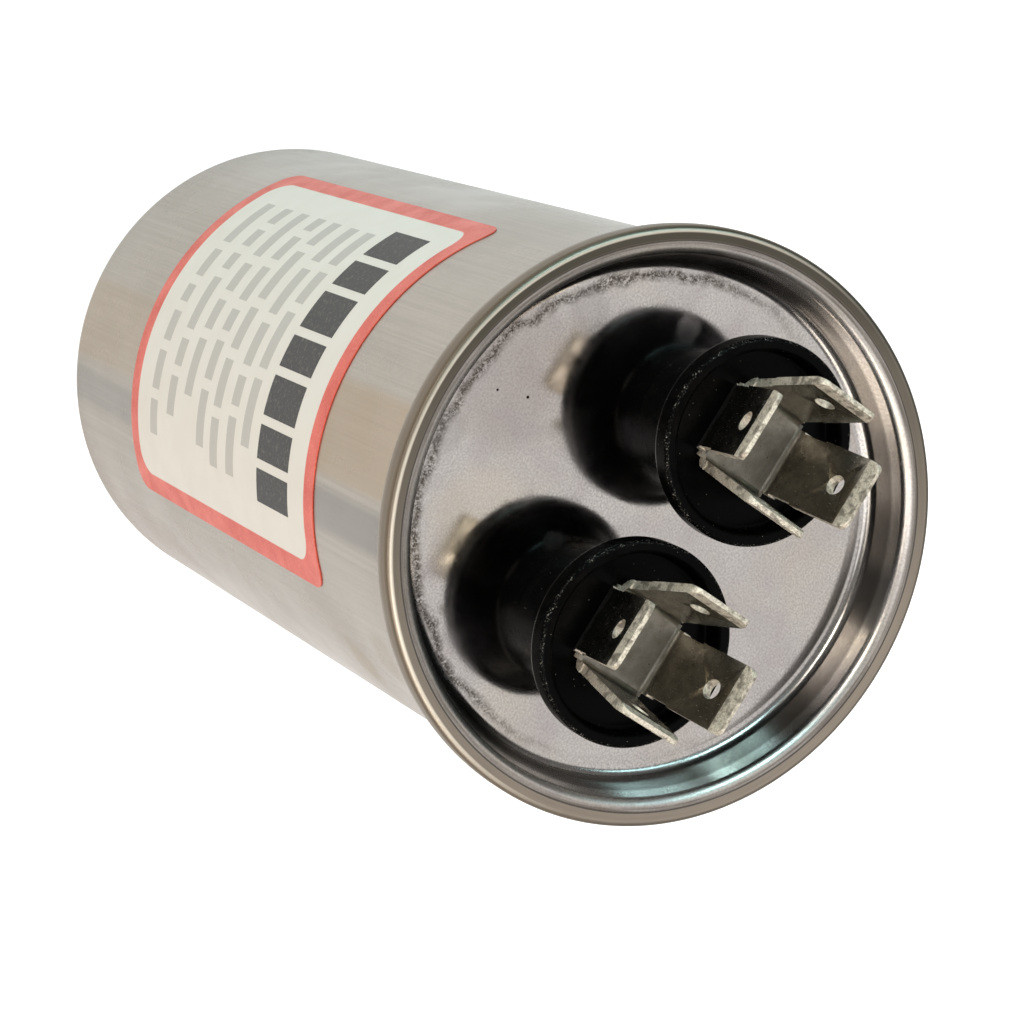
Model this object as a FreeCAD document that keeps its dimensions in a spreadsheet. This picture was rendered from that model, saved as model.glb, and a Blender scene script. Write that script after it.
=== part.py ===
import FreeCAD, Part
import math
import os
import Sketcher

# Motor run capacitor: a drawn can closed by a seamed lid, two four-way
# tab terminals in insulating bushings, and the winding that they feed.
# The can stands on its base, +Z towards the terminals, +X through both.

# Driving sizes in millimetres, angles in degrees
sizes = [
    # case
    ("case_height", 93.4, "base to the top of the rim"),
    ("can_radius", 25.0, "outside of the can wall"),
    ("can_wall", 0.4, "can wall"),
    ("can_base", 0.8, "can floor"),
    ("can_corner", 2.0, "outside radius between wall and floor"),
    # lid and double seam
    ("lid_sheet", 0.3, "lid sheet"),
    ("lid_recess", 5.0, "rim top down to the panel"),
    ("chuck_taper", 1.05, "how far the panel's wall leans out on its way up"),
    ("panel_corner", 1.2, "radius at the foot of the panel wall"),
    ("shoulder_corner", 1.0, "radius from the panel wall over to the rim"),
    ("rim_corner", 0.55, "radius at the outside of the rim"),
    ("rim_drop", 0.35, "how much lower the rim's top is at its inside"),
    ("hook_corner", 0.45, "radius at the foot of the seam"),
    ("seam_depth", 2.35, "rim top down to the foot of the seam"),
    ("seam_fit", 0.05, "gap between lid and can wall"),
    ("seam_gap", 0.42, "gap between the folded layers, up and down"),
    ("side_gap", 0.3, "gap between the folded layers, in and out"),
    ("hook_gap", 0.28, "end of the lid's hook to the can's flange"),
    ("flange_corner", 0.5, "radius from the can wall out to its flange"),
    ("relief_drop", 1.2, "seam's foot down to where the can wall draws in"),
    ("relief_step", 0.05, "how far the can wall draws in"),
    ("compound_width", 0.3, "sealing compound"),
    # bushings
    ("flange_gap", 2.0, "between the flanges of the two bushings"),
    ("neck_wall", 1.0, "foot of the neck, outside the gasket"),
    ("neck_height", 4.0, "straight part of the neck"),
    ("neck_corner", 2.0, "radius where the neck starts to flare"),
    ("flange_radius", 9.1, "bushing flange"),
    ("flange_edge", 2.2, "height of the flange's edge"),
    ("flange_land", 0.7, "flat ring under the flange's edge"),
    ("bushing_height", 10.2, "panel up to the cup's rim"),
    ("cup_lip", 1.15, "wall of the cup on top of the flange"),
    ("cup_depth", 2.1, "depth of the cup"),
    ("cup_edge", 0.35, "rounding of the cup's rim"),
    ("spigot_radius", 3.9, "bushing spigot through the lid"),
    ("spigot_proud", 0.8, "spigot below the lid"),
    ("spigot_fit", 0.1, "clearance around the spigot"),
    ("gasket_width", 1.4, "rubber gasket around the spigot"),
    ("gasket_fit", 0.1, "clearance around the gasket"),
    ("gasket_thick", 0.8, "gasket, pressed"),
    # terminals
    ("terminal_sheet", 0.8, "terminal sheet"),
    ("tab_width", 6.35, "quick-connect tab"),
    ("tab_length", 10.4, "plate top to tab tip, along the tab"),
    ("tab_root", 3.64, "centre out to a tab's inner face"),
    ("tab_corner", 0.9, "rounding of a tab's tip"),
    ("tab_bevel", 1.2, "length of the bevel at the tip"),
    ("tab_bevel_step", 0.2, "sheet lost to the bevel on each face"),
    ("tab_hole", 0.9, "radius of the latch hole"),
    ("tab_hole_inset", 3.3, "tab tip to the latch hole"),
    ("tab_neck", 3.4, "plate top to the tab's full width"),
    ("tab_neck_step", 0.15, "narrower at the root, each side"),
    ("bend_radius", 0.6, "inside radius of the bend"),
    ("plate_half", 3.6, "half the terminal's square plate"),
    ("splay_px", 11.5, "lean of the +X tab"),
    ("splay_py", 10.5, "lean of the +Y tab"),
    ("splay_mx", 8.5, "lean of the -X tab"),
    ("splay_my", 11.5, "lean of the -Y tab"),
    # rivets and what they clamp
    ("rivet_radius", 1.6, "rivet shank"),
    ("rivet_head_step", 0.8, "flat head, wider than the shank"),
    ("rivet_head_thick", 0.6, "flat head, sunk in the cup's floor"),
    ("rivet_foot_step", 1.1, "upset foot, wider than the shank"),
    ("rivet_foot_thick", 0.7, "upset foot"),
    ("rivet_fit", 0.05, "clearance around the rivet"),
    ("washer_radius", 6.5, "inner washer"),
    ("washer_floor", 0.8, "inner washer, below the spigot"),
    ("lug_sheet", 0.5, "solder lug"),
    ("lug_land", 0.5, "solder lug, round end beyond the rivet's foot"),
    ("lug_tail", 3.4, "solder lug, width of its tail"),
    ("lug_corner", 1.5, "solder lug, corners of its tail"),
    ("lug_reach", 8.0, "rivet out to the lead's hole"),
    # leads
    ("lead_radius", 0.7, "lead"),
    ("lead_fit", 0.05, "clearance around a lead"),
    ("lead_proud", 0.7, "lead above its lug"),
    ("lead_landing", 10.0, "lead lying on the sprayed end"),
    ("lead_bend", 4.5, "bend down to the sprayed end"),
    ("slope_bend", 5.0, "bend of lead b below its lug"),
    ("core_bend", 12.0, "bend of lead b into the core"),
    ("slope_drop", 1.9, "disc down to where lead b turns inwards"),
    ("sleeve_radius", 1.2, "insulating sleeve"),
    ("sleeve_fit", 0.1, "clearance around a sleeve"),
    ("sleeve_inset", 0.5, "end of a sleeve to the lead's bend"),
    # winding
    ("head_space", 11.6, "winding's top end to the breaker disc"),
    ("oil_gap", 1.18, "base cup to the can wall"),
    ("core_radius", 6.0, "core tube"),
    ("core_bore", 4.8, "core tube"),
    ("spray_thick", 0.6, "sprayed metal end"),
    ("wrap_thick", 0.4, "outer wrap"),
    ("snug", 0.02, "gap between pieces wound or pushed together"),
    # base cup
    ("cup_wall", 0.8, "insulating cup under the winding"),
    ("cup_floor_thick", 1.0, "its floor"),
    ("cup_height", 20.0, "its height"),
    ("cup_play", 0.2, "gap around the winding"),
    ("pedestal_height", 2.2, "ring that lifts the winding for the lead"),
    ("pedestal_inset", 2.0, "ring inside the edge of the film"),
    ("pedestal_wall", 3.0, "wall of that ring"),
    # breaker disc
    ("disc_thick", 1.2, "breaker disc"),
    ("disc_play", 0.4, "gap between disc and can"),
    ("disc_drop", 1.2, "rivet foot down to the disc"),
    ("skirt_inset", 0.6, "skirt inside the edge of the film"),
    ("skirt_wall", 1.2, "wall of the skirt"),
    # label
    ("label_drop", 20.8, "rim top down to the label"),
    ("label_height", 51.4, "label"),
    ("label_arc", 93.0, "label, round the can"),
    ("label_bearing", 96.0, "middle of the label, from +X"),
    ("label_film", 0.1, "label film"),
    ("label_corner", 2.0, "label corners"),
    # drafting
    ("cut_margin", 0.2, "how far a cut runs past an edge"),
]

doc = FreeCAD.newDocument("run_capacitor")
sheet = doc.addObject("Spreadsheet::Sheet", "Sizes")
for row, (alias, number, note) in enumerate(sizes, start=1):
    sheet.set("A%d" % row, alias)
    sheet.set("B%d" % row, str(number))
    sheet.set("C%d" % row, note)
    sheet.setAlias("B%d" % row, alias)
doc.recompute()


class Size:
    # A number together with the expression that ties it to the sheet
    def __init__(self, number, text=None):
        self.number = float(number)
        self.text = text if text is not None else repr(float(number))

    def join(self, other, sign, number):
        return Size(number, "(%s %s %s)" % (self.text, sign, other.text))

    def __add__(self, other):
        other = as_size(other)
        return self.join(other, "+", self.number + other.number)

    def __sub__(self, other):
        other = as_size(other)
        return self.join(other, "-", self.number - other.number)

    def __mul__(self, other):
        other = as_size(other)
        return self.join(other, "*", self.number * other.number)

    def __truediv__(self, other):
        other = as_size(other)
        return self.join(other, "/", self.number / other.number)

    def __neg__(self):
        return Size(-self.number, "(0 - %s)" % self.text)


def as_size(thing):
    return thing if isinstance(thing, Size) else Size(thing)


def sine(angle):
    return Size(math.sin(math.radians(angle.number)), "sin(%s)" % angle.text)


def cosine(angle):
    return Size(math.cos(math.radians(angle.number)), "cos(%s)" % angle.text)


def tangent(angle):
    return Size(math.tan(math.radians(angle.number)), "tan(%s)" % angle.text)


def bearing(across, along):
    angle = math.degrees(math.atan2(across.number, along.number))
    return Size(angle, "atan(%s / %s)" % (across.text, along.text))


def distance(x, y):
    return Size(math.hypot(x.number, y.number), "hypot(%s; %s)" % (x.text, y.text))


def cell(alias):
    return Size(sheet.get(alias), "Sizes." + alias)


class Sheet:
    # Reads a cell of the sheet as a Size: s.can_radius
    def __getattr__(self, alias):
        return cell(alias)


s = Sheet()
zero = Size(0)


# Sketch helpers

def origin_plane(body, role):
    return next(f for f in body.Origin.OriginFeatures if f.Role == role)


def new_body(name):
    body = doc.addObject("PartDesign::Body", name)
    body.Label = name
    return body


def new_sketch(body, role, name):
    sketch = body.newObject("Sketcher::SketchObject", name)
    sketch.AttachmentSupport = [(origin_plane(body, role), "")]
    sketch.MapMode = "FlatFace"
    return sketch


def hold_point(sketch, geometry, end, x, y):
    # Ties one point of a sketch to its two distances from the origin
    if x.text == zero.text:
        sketch.addConstraint(Sketcher.Constraint("PointOnObject", geometry, end, -2))
    else:
        index = sketch.addConstraint(
            Sketcher.Constraint("DistanceX", -1, 1, geometry, end, x.number))
        sketch.setExpression("Constraints[%d]" % index, x.text)
    if y.text == zero.text:
        sketch.addConstraint(Sketcher.Constraint("PointOnObject", geometry, end, -1))
    else:
        index = sketch.addConstraint(
            Sketcher.Constraint("DistanceY", -1, 1, geometry, end, y.number))
        sketch.setExpression("Constraints[%d]" % index, y.text)


def outline(sketch, corners, closed=True):
    # Draws a closed outline or an open path through its corners.
    # A corner is (x, y), or (x, y, radius) if rounded.
    count = len(corners)
    points = [FreeCAD.Vector(c[0].number, c[1].number, 0) for c in corners]
    entry = list(points)
    leave = list(points)
    arcs = [None] * count
    for i, corner in enumerate(corners):
        if len(corner) < 3:
            continue
        back = (points[i - 1] - points[i]).normalize()
        ahead = (points[(i + 1) % count] - points[i]).normalize()
        half = back.getAngle(ahead) / 2
        radius = corner[2].number
        run = radius / math.tan(half)
        entry[i] = points[i] + back * run
        leave[i] = points[i] + ahead * run
        middle = points[i] + (back + ahead).normalize() * (radius / math.sin(half))
        turns_left = back.cross(ahead).z < 0
        first, last = (entry[i], leave[i]) if turns_left else (leave[i], entry[i])
        start = math.atan2(first.y - middle.y, first.x - middle.x)
        stop = math.atan2(last.y - middle.y, last.x - middle.x)
        circle = Part.Circle(middle, FreeCAD.Vector(0, 0, 1), radius)
        arc = sketch.addGeometry(Part.ArcOfCircle(circle, start, stop), False)
        arcs[i] = (arc, 1, 2) if turns_left else (arc, 2, 1)
    lines = []
    for i in range(count if closed else count - 1):
        nxt = (i + 1) % count
        lines.append(sketch.addGeometry(Part.LineSegment(leave[i], entry[nxt]), False))
    if not closed:
        hold_point(sketch, lines[0], 1, corners[0][0], corners[0][1])
        hold_point(sketch, lines[-1], 2, corners[-1][0], corners[-1][1])
    for i, corner in enumerate(corners):
        if not closed and i in (0, count - 1):
            continue
        before = lines[i - 1]
        after = lines[i]
        if arcs[i] is None:
            sketch.addConstraint(Sketcher.Constraint("Coincident", before, 2, after, 1))
            hold_point(sketch, after, 1, corner[0], corner[1])
            continue
        arc, arc_in, arc_out = arcs[i]
        tip = sketch.addGeometry(Part.Point(points[i]), True)
        sketch.addConstraint(Sketcher.Constraint("Tangent", before, 2, arc, arc_in))
        sketch.addConstraint(Sketcher.Constraint("Tangent", after, 1, arc, arc_out))
        sketch.addConstraint(Sketcher.Constraint("PointOnObject", tip, 1, before))
        sketch.addConstraint(Sketcher.Constraint("PointOnObject", tip, 1, after))
        index = sketch.addConstraint(Sketcher.Constraint("Radius", arc, corner[2].number))
        sketch.setExpression("Constraints[%d]" % index, corner[2].text)
        hold_point(sketch, tip, 1, corner[0], corner[1])


def circle(sketch, x, y, radius):
    centre = FreeCAD.Vector(x.number, y.number, 0)
    round_edge = Part.Circle(centre, FreeCAD.Vector(0, 0, 1), radius.number)
    geometry = sketch.addGeometry(round_edge, False)
    index = sketch.addConstraint(Sketcher.Constraint("Radius", geometry, radius.number))
    sketch.setExpression("Constraints[%d]" % index, radius.text)
    hold_point(sketch, geometry, 3, x, y)


# Feature helpers

def turned(body, name, corners, angle=None):
    # Turns a section, drawn as (radius, height), about the body's own Z axis
    sketch = new_sketch(body, "XZ_Plane", name + "_section")
    outline(sketch, corners)
    turn = body.newObject("PartDesign::Revolution", name)
    turn.Profile = sketch
    turn.ReferenceAxis = (sketch, ["V_Axis"])
    if angle is None:
        turn.Angle = 360
    else:
        turn.Midplane = True
        turn.setExpression("Angle", angle.text)
    sketch.Visibility = False
    return turn


def padded(body, sketch, name, length, symmetric=False):
    pad = body.newObject("PartDesign::Pad", name)
    pad.Profile = sketch
    pad.setExpression("Length", length.text)
    if symmetric:
        pad.SideType = "Symmetric"
    sketch.Visibility = False
    return pad


def pocketed(body, sketch, name, reverse=False):
    cut = body.newObject("PartDesign::Pocket", name)
    cut.Profile = sketch
    cut.Type = "ThroughAll"
    cut.Reversed = reverse
    sketch.Visibility = False
    return cut


def place(thing, x=zero, y=zero, z=zero, turn=None):
    for axis, value in zip("xyz", (x, y, z)):
        if value.text != zero.text:
            thing.setExpression(".Placement.Base.%s" % axis, value.text)
    if turn is not None:
        thing.Placement.Rotation = FreeCAD.Rotation(FreeCAD.Vector(0, 0, 1), turn.number)
        thing.setExpression(".Placement.Rotation.Angle", turn.text)


# Levels and radii that more than one piece shares

panel_top = s.case_height - s.lid_recess
panel_under = panel_top - s.lid_sheet
can_bore = s.can_radius - s.can_wall
wall_top_radius = can_bore - s.seam_fit - s.lid_sheet
panel_radius = wall_top_radius - s.chuck_taper
lid_hook_in = s.can_radius + s.seam_fit
lid_hook_out = lid_hook_in + s.lid_sheet
can_hook_in = lid_hook_out + s.side_gap
can_hook_out = can_hook_in + s.can_wall
rim_in = can_hook_out + s.side_gap
rim_out = rim_in + s.lid_sheet
seam_foot = s.case_height - s.seam_depth
rim_under = s.case_height - s.lid_sheet
flange_top = rim_under - s.seam_gap
flange_lower = flange_top - s.can_wall
spigot_hole = s.spigot_radius + s.spigot_fit
gasket_radius = spigot_hole + s.gasket_width
neck_radius = gasket_radius + s.gasket_fit + s.neck_wall
cup_floor = s.bushing_height - s.cup_depth
rivet_bore = s.rivet_radius + s.rivet_fit
rivet_head = s.rivet_radius + s.rivet_head_step
rivet_foot = s.rivet_radius + s.rivet_foot_step
head_under = cup_floor - s.rivet_head_thick
washer_thick = s.spigot_proud + s.spigot_fit + s.washer_floor
washer_under = panel_under - washer_thick
lug_under = washer_under - s.lug_sheet
foot_under = lug_under - s.rivet_foot_thick
disc_top = foot_under - s.disc_drop
disc_under = disc_top - s.disc_thick
cup_floor_top = s.can_base + s.cup_floor_thick
winding_low = cup_floor_top + s.pedestal_height
film_low = winding_low + s.spray_thick
winding_high = disc_under - s.head_space
film_high = winding_high - s.spray_thick
cup_outer = can_bore - s.oil_gap
cup_inner = cup_outer - s.cup_wall
wrap_outer = cup_inner - s.cup_play
wrap_inner = wrap_outer - s.wrap_thick
film_radius = wrap_inner - s.snug
lead_hole = s.lead_radius + s.lead_fit
lead_top = washer_under + s.lead_proud
lie_high = winding_high + s.lead_radius
lie_low = winding_low - s.lead_radius
half_pitch = s.flange_radius + s.flange_gap / 2
sides = {"a": 1, "b": -1}


# Case

def make_can():
    body = new_body("can")
    hook_end = seam_foot + s.lid_sheet + s.seam_gap
    turned(body, "can_shell", [
        (zero, zero),
        (s.can_radius, zero, s.can_corner),
        (s.can_radius, seam_foot - s.relief_drop),
        (s.can_radius - s.relief_step, seam_foot),
        (s.can_radius - s.relief_step, flange_lower),
        (can_hook_in, flange_lower),
        (can_hook_in, hook_end),
        (can_hook_out, hook_end),
        (can_hook_out, flange_top, s.can_wall),
        (can_bore, flange_top, s.flange_corner),
        (can_bore, s.can_base, s.can_corner - s.can_wall),
        (zero, s.can_base),
    ])
    return body


def make_lid():
    body = new_body("lid")
    hook_high = flange_lower - s.hook_gap
    turned(body, "lid_shell", [
        (zero, panel_under),
        (panel_radius + s.lid_sheet, panel_under, s.panel_corner + s.lid_sheet),
        (wall_top_radius + s.lid_sheet, rim_under - s.rim_drop, s.shoulder_corner - s.lid_sheet),
        (rim_in, rim_under, s.rim_corner - s.lid_sheet),
        (rim_in, seam_foot + s.lid_sheet),
        (lid_hook_out, seam_foot + s.lid_sheet),
        (lid_hook_out, hook_high),
        (lid_hook_in, hook_high),
        (lid_hook_in, seam_foot, s.lid_sheet),
        (rim_out, seam_foot, s.hook_corner),
        (rim_out, s.case_height, s.rim_corner),
        (wall_top_radius, s.case_height - s.rim_drop, s.shoulder_corner),
        (panel_radius, panel_top, s.panel_corner),
        (zero, panel_top),
    ])
    holes = new_sketch(body, "XY_Plane", "bushing_holes_outline")
    for side in sides.values():
        circle(holes, half_pitch * side, zero, spigot_hole)
    pocketed(body, holes, "bushing_holes", reverse=True)
    return body


def make_seam_compound():
    body = new_body("seam_compound")
    # A thin ring between the can's flange and the lid's sloping top
    outer = can_hook_out - s.can_wall
    inner = outer - s.compound_width
    slope = s.rim_drop / (rim_in - wall_top_radius - s.lid_sheet)
    turned(body, "compound_ring", [
        (inner, flange_top),
        (outer, flange_top),
        (outer, rim_under - slope * (rim_in - outer)),
        (inner, rim_under - slope * (rim_in - inner)),
    ])
    return body


def make_label():
    body = new_body("label")
    inner = s.can_radius + s.snug
    outer = inner + s.label_film
    film = turned(body, "label_film", [
        (inner, zero),
        (outer, zero),
        (outer, s.label_height),
        (inner, s.label_height),
    ], angle=s.label_arc)
    doc.recompute()
    short = []
    for number, edge in enumerate(film.Shape.Edges, start=1):
        a, b = (vertex.Point for vertex in edge.Vertexes)
        if abs(a.z - b.z) < 1e-6 and edge.Length < 2 * s.label_film.number:
            short.append("Edge%d" % number)
    rounding = body.newObject("PartDesign::Fillet", "label_corners")
    rounding.Base = (film, short)
    rounding.setExpression("Radius", s.label_corner.text)
    low = s.case_height - s.label_drop - s.label_height
    place(body, z=low, turn=s.label_bearing)
    return body


# Bushings and terminals

def make_bushing(letter, side):
    body = new_body("bushing_" + letter)
    gasket_seat = gasket_radius + s.gasket_fit
    spigot_end = -(s.lid_sheet + s.spigot_proud)
    flange_under = s.bushing_height - s.flange_edge
    cup_radius = s.flange_radius - s.cup_lip
    turned(body, "bushing_%s_form" % letter, [
        (rivet_bore, spigot_end),
        (s.spigot_radius, spigot_end),
        (s.spigot_radius, s.gasket_thick),
        (gasket_seat, s.gasket_thick),
        (gasket_seat, zero),
        (neck_radius, zero),
        (neck_radius, s.neck_height, s.neck_corner),
        (s.flange_radius - s.flange_land, flange_under),
        (s.flange_radius, flange_under, s.cup_edge),
        (s.flange_radius, s.bushing_height, s.cup_edge),
        (cup_radius, s.bushing_height, s.cup_edge),
        (cup_radius, cup_floor, s.cup_edge),
        (rivet_head + s.rivet_fit, cup_floor),
        (rivet_head + s.rivet_fit, head_under),
        (rivet_bore, head_under),
    ])
    place(body, x=half_pitch * side, z=panel_top)
    return body


def make_gasket(letter, side):
    body = new_body("gasket_" + letter)
    turned(body, "gasket_%s_ring" % letter, [
        (spigot_hole, zero),
        (gasket_radius, zero),
        (gasket_radius, s.gasket_thick),
        (spigot_hole, s.gasket_thick),
    ])
    place(body, x=half_pitch * side, z=panel_top)
    return body


def make_terminal(letter, side):
    # A cross-shaped blank: a square plate and four tabs folded up from it
    body = new_body("terminal_" + letter)
    plate = new_sketch(body, "XY_Plane", "plate_outline_" + letter)
    outline(plate, [
        (-s.plate_half, -s.plate_half),
        (s.plate_half, -s.plate_half),
        (s.plate_half, s.plate_half),
        (-s.plate_half, s.plate_half),
    ])
    padded(body, plate, "plate_" + letter, s.terminal_sheet)
    tabs = [
        ("px", "XZ_Plane", 1, s.splay_px),
        ("mx", "XZ_Plane", -1, s.splay_mx),
        ("py", "YZ_Plane", 1, s.splay_py),
        ("my", "YZ_Plane", -1, s.splay_my),
    ]
    for tag, plane, way, splay in tabs:
        fold_tab(body, "%s_%s" % (tag, letter), plane, way, splay)
    for tag, plane, way, splay in tabs:
        trim_tab(body, "%s_%s" % (tag, letter), plane, way, splay)
    place(body, x=half_pitch * side, z=panel_top + cup_floor)
    return body


def fold_tab(body, tag, plane, way, splay):
    # Side view of one tab, out from the plate and up with its lean
    lean = sine(splay)
    rise = cosine(splay)
    thick = s.terminal_sheet

    def at(along, through):
        out = s.tab_root + lean * along + rise * through
        up = thick + rise * along - lean * through
        return (out * way, up)

    full = s.tab_length - s.tab_bevel
    outer_root = s.tab_root + thick * (as_size(1) - lean) / rise
    side_view = new_sketch(body, plane, "fold_outline_" + tag)
    outline(side_view, [
        (zero, zero),
        (outer_root * way, zero, s.bend_radius + thick),
        at(full, thick),
        at(s.tab_length, thick - s.tab_bevel_step),
        at(s.tab_length, s.tab_bevel_step),
        at(full, zero),
        (s.tab_root * way, thick, s.bend_radius),
        (zero, thick),
    ])
    padded(body, side_view, "tab_" + tag, s.tab_width, symmetric=True)


def trim_tab(body, tag, plane, way, splay):
    # Front view of one tab: rounded tip, latch hole and narrower root
    front_plane = "YZ_Plane" if plane == "XZ_Plane" else "XZ_Plane"
    rise = cosine(splay)
    lean = sine(splay)
    half = s.tab_width / 2
    edge = half + s.cut_margin
    tip = s.terminal_sheet + rise * s.tab_length - lean * s.tab_bevel_step
    corner_run = s.tab_corner + s.cut_margin
    neck_low = s.terminal_sheet + s.bend_radius
    neck_high = s.terminal_sheet + rise * s.tab_neck
    hole_height = s.terminal_sheet + rise * (s.tab_length - s.tab_hole_inset)
    front = new_sketch(body, front_plane, "trim_outline_" + tag)
    circle(front, zero, hole_height, s.tab_hole)
    for hand in (1, -1):
        outline(front, [
            (half * hand, tip - corner_run),
            (half * hand, tip, s.tab_corner),
            ((half - corner_run) * hand, tip),
            ((half - corner_run) * hand, tip + s.cut_margin),
            (edge * hand, tip + s.cut_margin),
            (edge * hand, tip - corner_run),
        ])
        outline(front, [
            ((half - s.tab_neck_step) * hand, neck_low),
            ((half - s.tab_neck_step) * hand, neck_high),
            (edge * hand, neck_high),
            (edge * hand, neck_low),
        ])
    # A cut runs against its sketch's normal, which is +X on YZ and -Y on XZ
    against = way < 0 if front_plane == "YZ_Plane" else way > 0
    pocketed(body, front, "trim_" + tag, reverse=not against)


def make_rivet(letter, side):
    # Its flat head carries the terminal's plate, which is welded to it
    body = new_body("rivet_" + letter)
    under = lug_under - panel_top
    turned(body, "rivet_%s_form" % letter, [
        (zero, under - s.rivet_foot_thick),
        (rivet_foot, under - s.rivet_foot_thick, s.rivet_foot_thick / 2),
        (rivet_foot, under),
        (s.rivet_radius, under),
        (s.rivet_radius, head_under),
        (rivet_head, head_under),
        (rivet_head, cup_floor),
        (zero, cup_floor),
    ])
    place(body, x=half_pitch * side, z=panel_top)
    return body


def make_inner_washer(letter, side):
    body = new_body("inner_washer_" + letter)
    turned(body, "washer_%s_form" % letter, [
        (rivet_bore, zero),
        (s.washer_radius, zero),
        (s.washer_radius, washer_thick),
        (spigot_hole, washer_thick),
        (spigot_hole, s.washer_floor),
        (rivet_bore, s.washer_floor),
    ])
    place(body, x=half_pitch * side, z=washer_under)
    return body


def make_lug(letter, side):
    # Round eye under the rivet, with a tail out to the lead's hole
    body = new_body("lug_" + letter)
    eye = new_sketch(body, "XY_Plane", "lug_eye_outline_" + letter)
    circle(eye, zero, zero, rivet_foot + s.lug_land)
    padded(body, eye, "lug_eye_" + letter, s.lug_sheet)
    half = s.lug_tail / 2
    end = s.lug_reach + half
    tail = new_sketch(body, "XY_Plane", "lug_tail_outline_" + letter)
    outline(tail, [
        (-half, zero),
        (half, zero),
        (half, end, s.lug_corner),
        (-half, end, s.lug_corner),
    ])
    padded(body, tail, "lug_tail_" + letter, s.lug_sheet)
    holes = new_sketch(body, "XY_Plane", "lug_holes_outline_" + letter)
    circle(holes, zero, zero, rivet_bore)
    circle(holes, zero, s.lug_reach, lead_hole)
    pocketed(body, holes, "lug_holes_" + letter, reverse=True)
    half_turn = Size(0) if side > 0 else Size(180)
    place(body, x=half_pitch * side, z=lug_under, turn=half_turn)
    return body


# Winding

def make_ring(name, inner, outer, low, high):
    body = new_body(name)
    turned(body, name + "_ring", [
        (inner, zero),
        (outer, zero),
        (outer, high - low),
        (inner, high - low),
    ])
    place(body, z=low)
    return body


def make_winding():
    inner = s.core_radius + s.snug
    return [
        make_ring("winding", inner, film_radius, film_low, film_high),
        make_ring("winding_core", s.core_bore, s.core_radius, winding_low, winding_high),
        make_ring("end_spray_bottom", inner, film_radius, winding_low, film_low),
        make_ring("end_spray_top", inner, film_radius, film_high, winding_high),
        make_ring("winding_wrap", wrap_inner, wrap_outer, winding_low, winding_high),
    ]


def make_base_cup():
    # Shallow cup on the can's floor, with a ring that carries the winding
    body = new_body("base_cup")
    floor = s.cup_floor_thick
    ring_out = film_radius - s.pedestal_inset
    ring_in = ring_out - s.pedestal_wall
    turned(body, "base_cup_form", [
        (zero, zero),
        (cup_outer - s.can_corner, zero),
        (cup_outer, s.can_corner),
        (cup_outer, s.cup_height),
        (cup_inner, s.cup_height),
        (cup_inner, floor + s.cup_wall),
        (cup_inner - s.cup_wall, floor),
        (ring_out, floor),
        (ring_out, floor + s.pedestal_height),
        (ring_in, floor + s.pedestal_height),
        (ring_in, floor),
        (zero, floor),
    ])
    place(body, z=s.can_base)
    return body


def make_breaker_disc():
    # Disc under the lid with a skirt that stands on the winding's end
    body = new_body("breaker_disc")
    deep = disc_top - winding_high
    outer = can_bore - s.disc_play
    skirt_out = film_radius - s.skirt_inset
    skirt_in = skirt_out - s.skirt_wall
    turned(body, "disc_form", [
        (zero, s.head_space),
        (skirt_in, s.head_space),
        (skirt_in, zero),
        (skirt_out, zero),
        (skirt_out, s.head_space),
        (outer, s.head_space),
        (outer, deep),
        (zero, deep),
    ])
    holes = new_sketch(body, "XY_Plane", "lead_holes_outline")
    for way in sides.values():
        hole = s.sleeve_radius + s.sleeve_fit
        circle(holes, half_pitch * way, s.lug_reach * way, hole)
    pocketed(body, holes, "lead_holes", reverse=True)
    place(body, z=winding_high)
    return body


# Leads

def swept(name, corners):
    # A lead, from its top end along a path in its body's own XZ plane
    body = new_body(name)
    path = new_sketch(body, "XZ_Plane", name + "_path")
    outline(path, corners, closed=False)
    section = new_sketch(body, "XY_Plane", name + "_section")
    circle(section, zero, zero, s.lead_radius)
    doc.recompute()
    lead = body.newObject("PartDesign::AdditivePipe", name + "_sweep")
    lead.Profile = section
    lead.Spine = (path, ["Edge%d" % (i + 1) for i in range(len(path.Shape.Edges))])
    path.Visibility = False
    section.Visibility = False
    doc.recompute()
    length = sum(edge.Length for edge in path.Shape.Edges)
    expected = math.pi * s.lead_radius.number ** 2 * length
    radii = ", ".join("%.1f" % corner[2].number for corner in corners if len(corner) > 2)
    print("%s length %.1f mm, bends %s mm, volume %.4f of its section times length"
          % (name, length, radii, body.Shape.Volume / expected))
    return body


def make_lead_a():
    # From lug a straight down to the top end of the winding
    drop = lead_top - lie_high
    body = swept("lead_a", [
        (zero, zero),
        (zero, -drop, s.lead_bend),
        (-s.lead_landing, -drop),
    ])
    place(body, x=half_pitch, y=s.lug_reach, z=lead_top)
    return body


# How far lead b turns, between the disc and the core

slope_high = disc_under - s.slope_drop
core_offset = distance(half_pitch, s.lug_reach)
slope_turn = bearing(core_offset, slope_high - lie_high)


def make_lead_b():
    # From lug b over to the core, down its bore and out under the winding
    body = swept("lead_b", [
        (zero, zero),
        (zero, slope_high - lead_top, s.slope_bend),
        (core_offset, lie_high - lead_top, s.core_bend),
        (core_offset, lie_low - lead_top, s.lead_bend),
        (core_offset + s.lead_landing, lie_low - lead_top),
    ])
    place(body, x=-half_pitch, y=-s.lug_reach, z=lead_top, turn=bearing(s.lug_reach, half_pitch))
    return body


def make_sleeve(name, x, y, low, high):
    # Insulating tube over a straight stretch of its lead
    body = new_body(name)
    turned(body, name + "_tube", [
        (lead_hole, zero),
        (s.sleeve_radius, zero),
        (s.sleeve_radius, high - low),
        (lead_hole, high - low),
    ])
    place(body, x=x, y=y, z=low)
    return body


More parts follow.
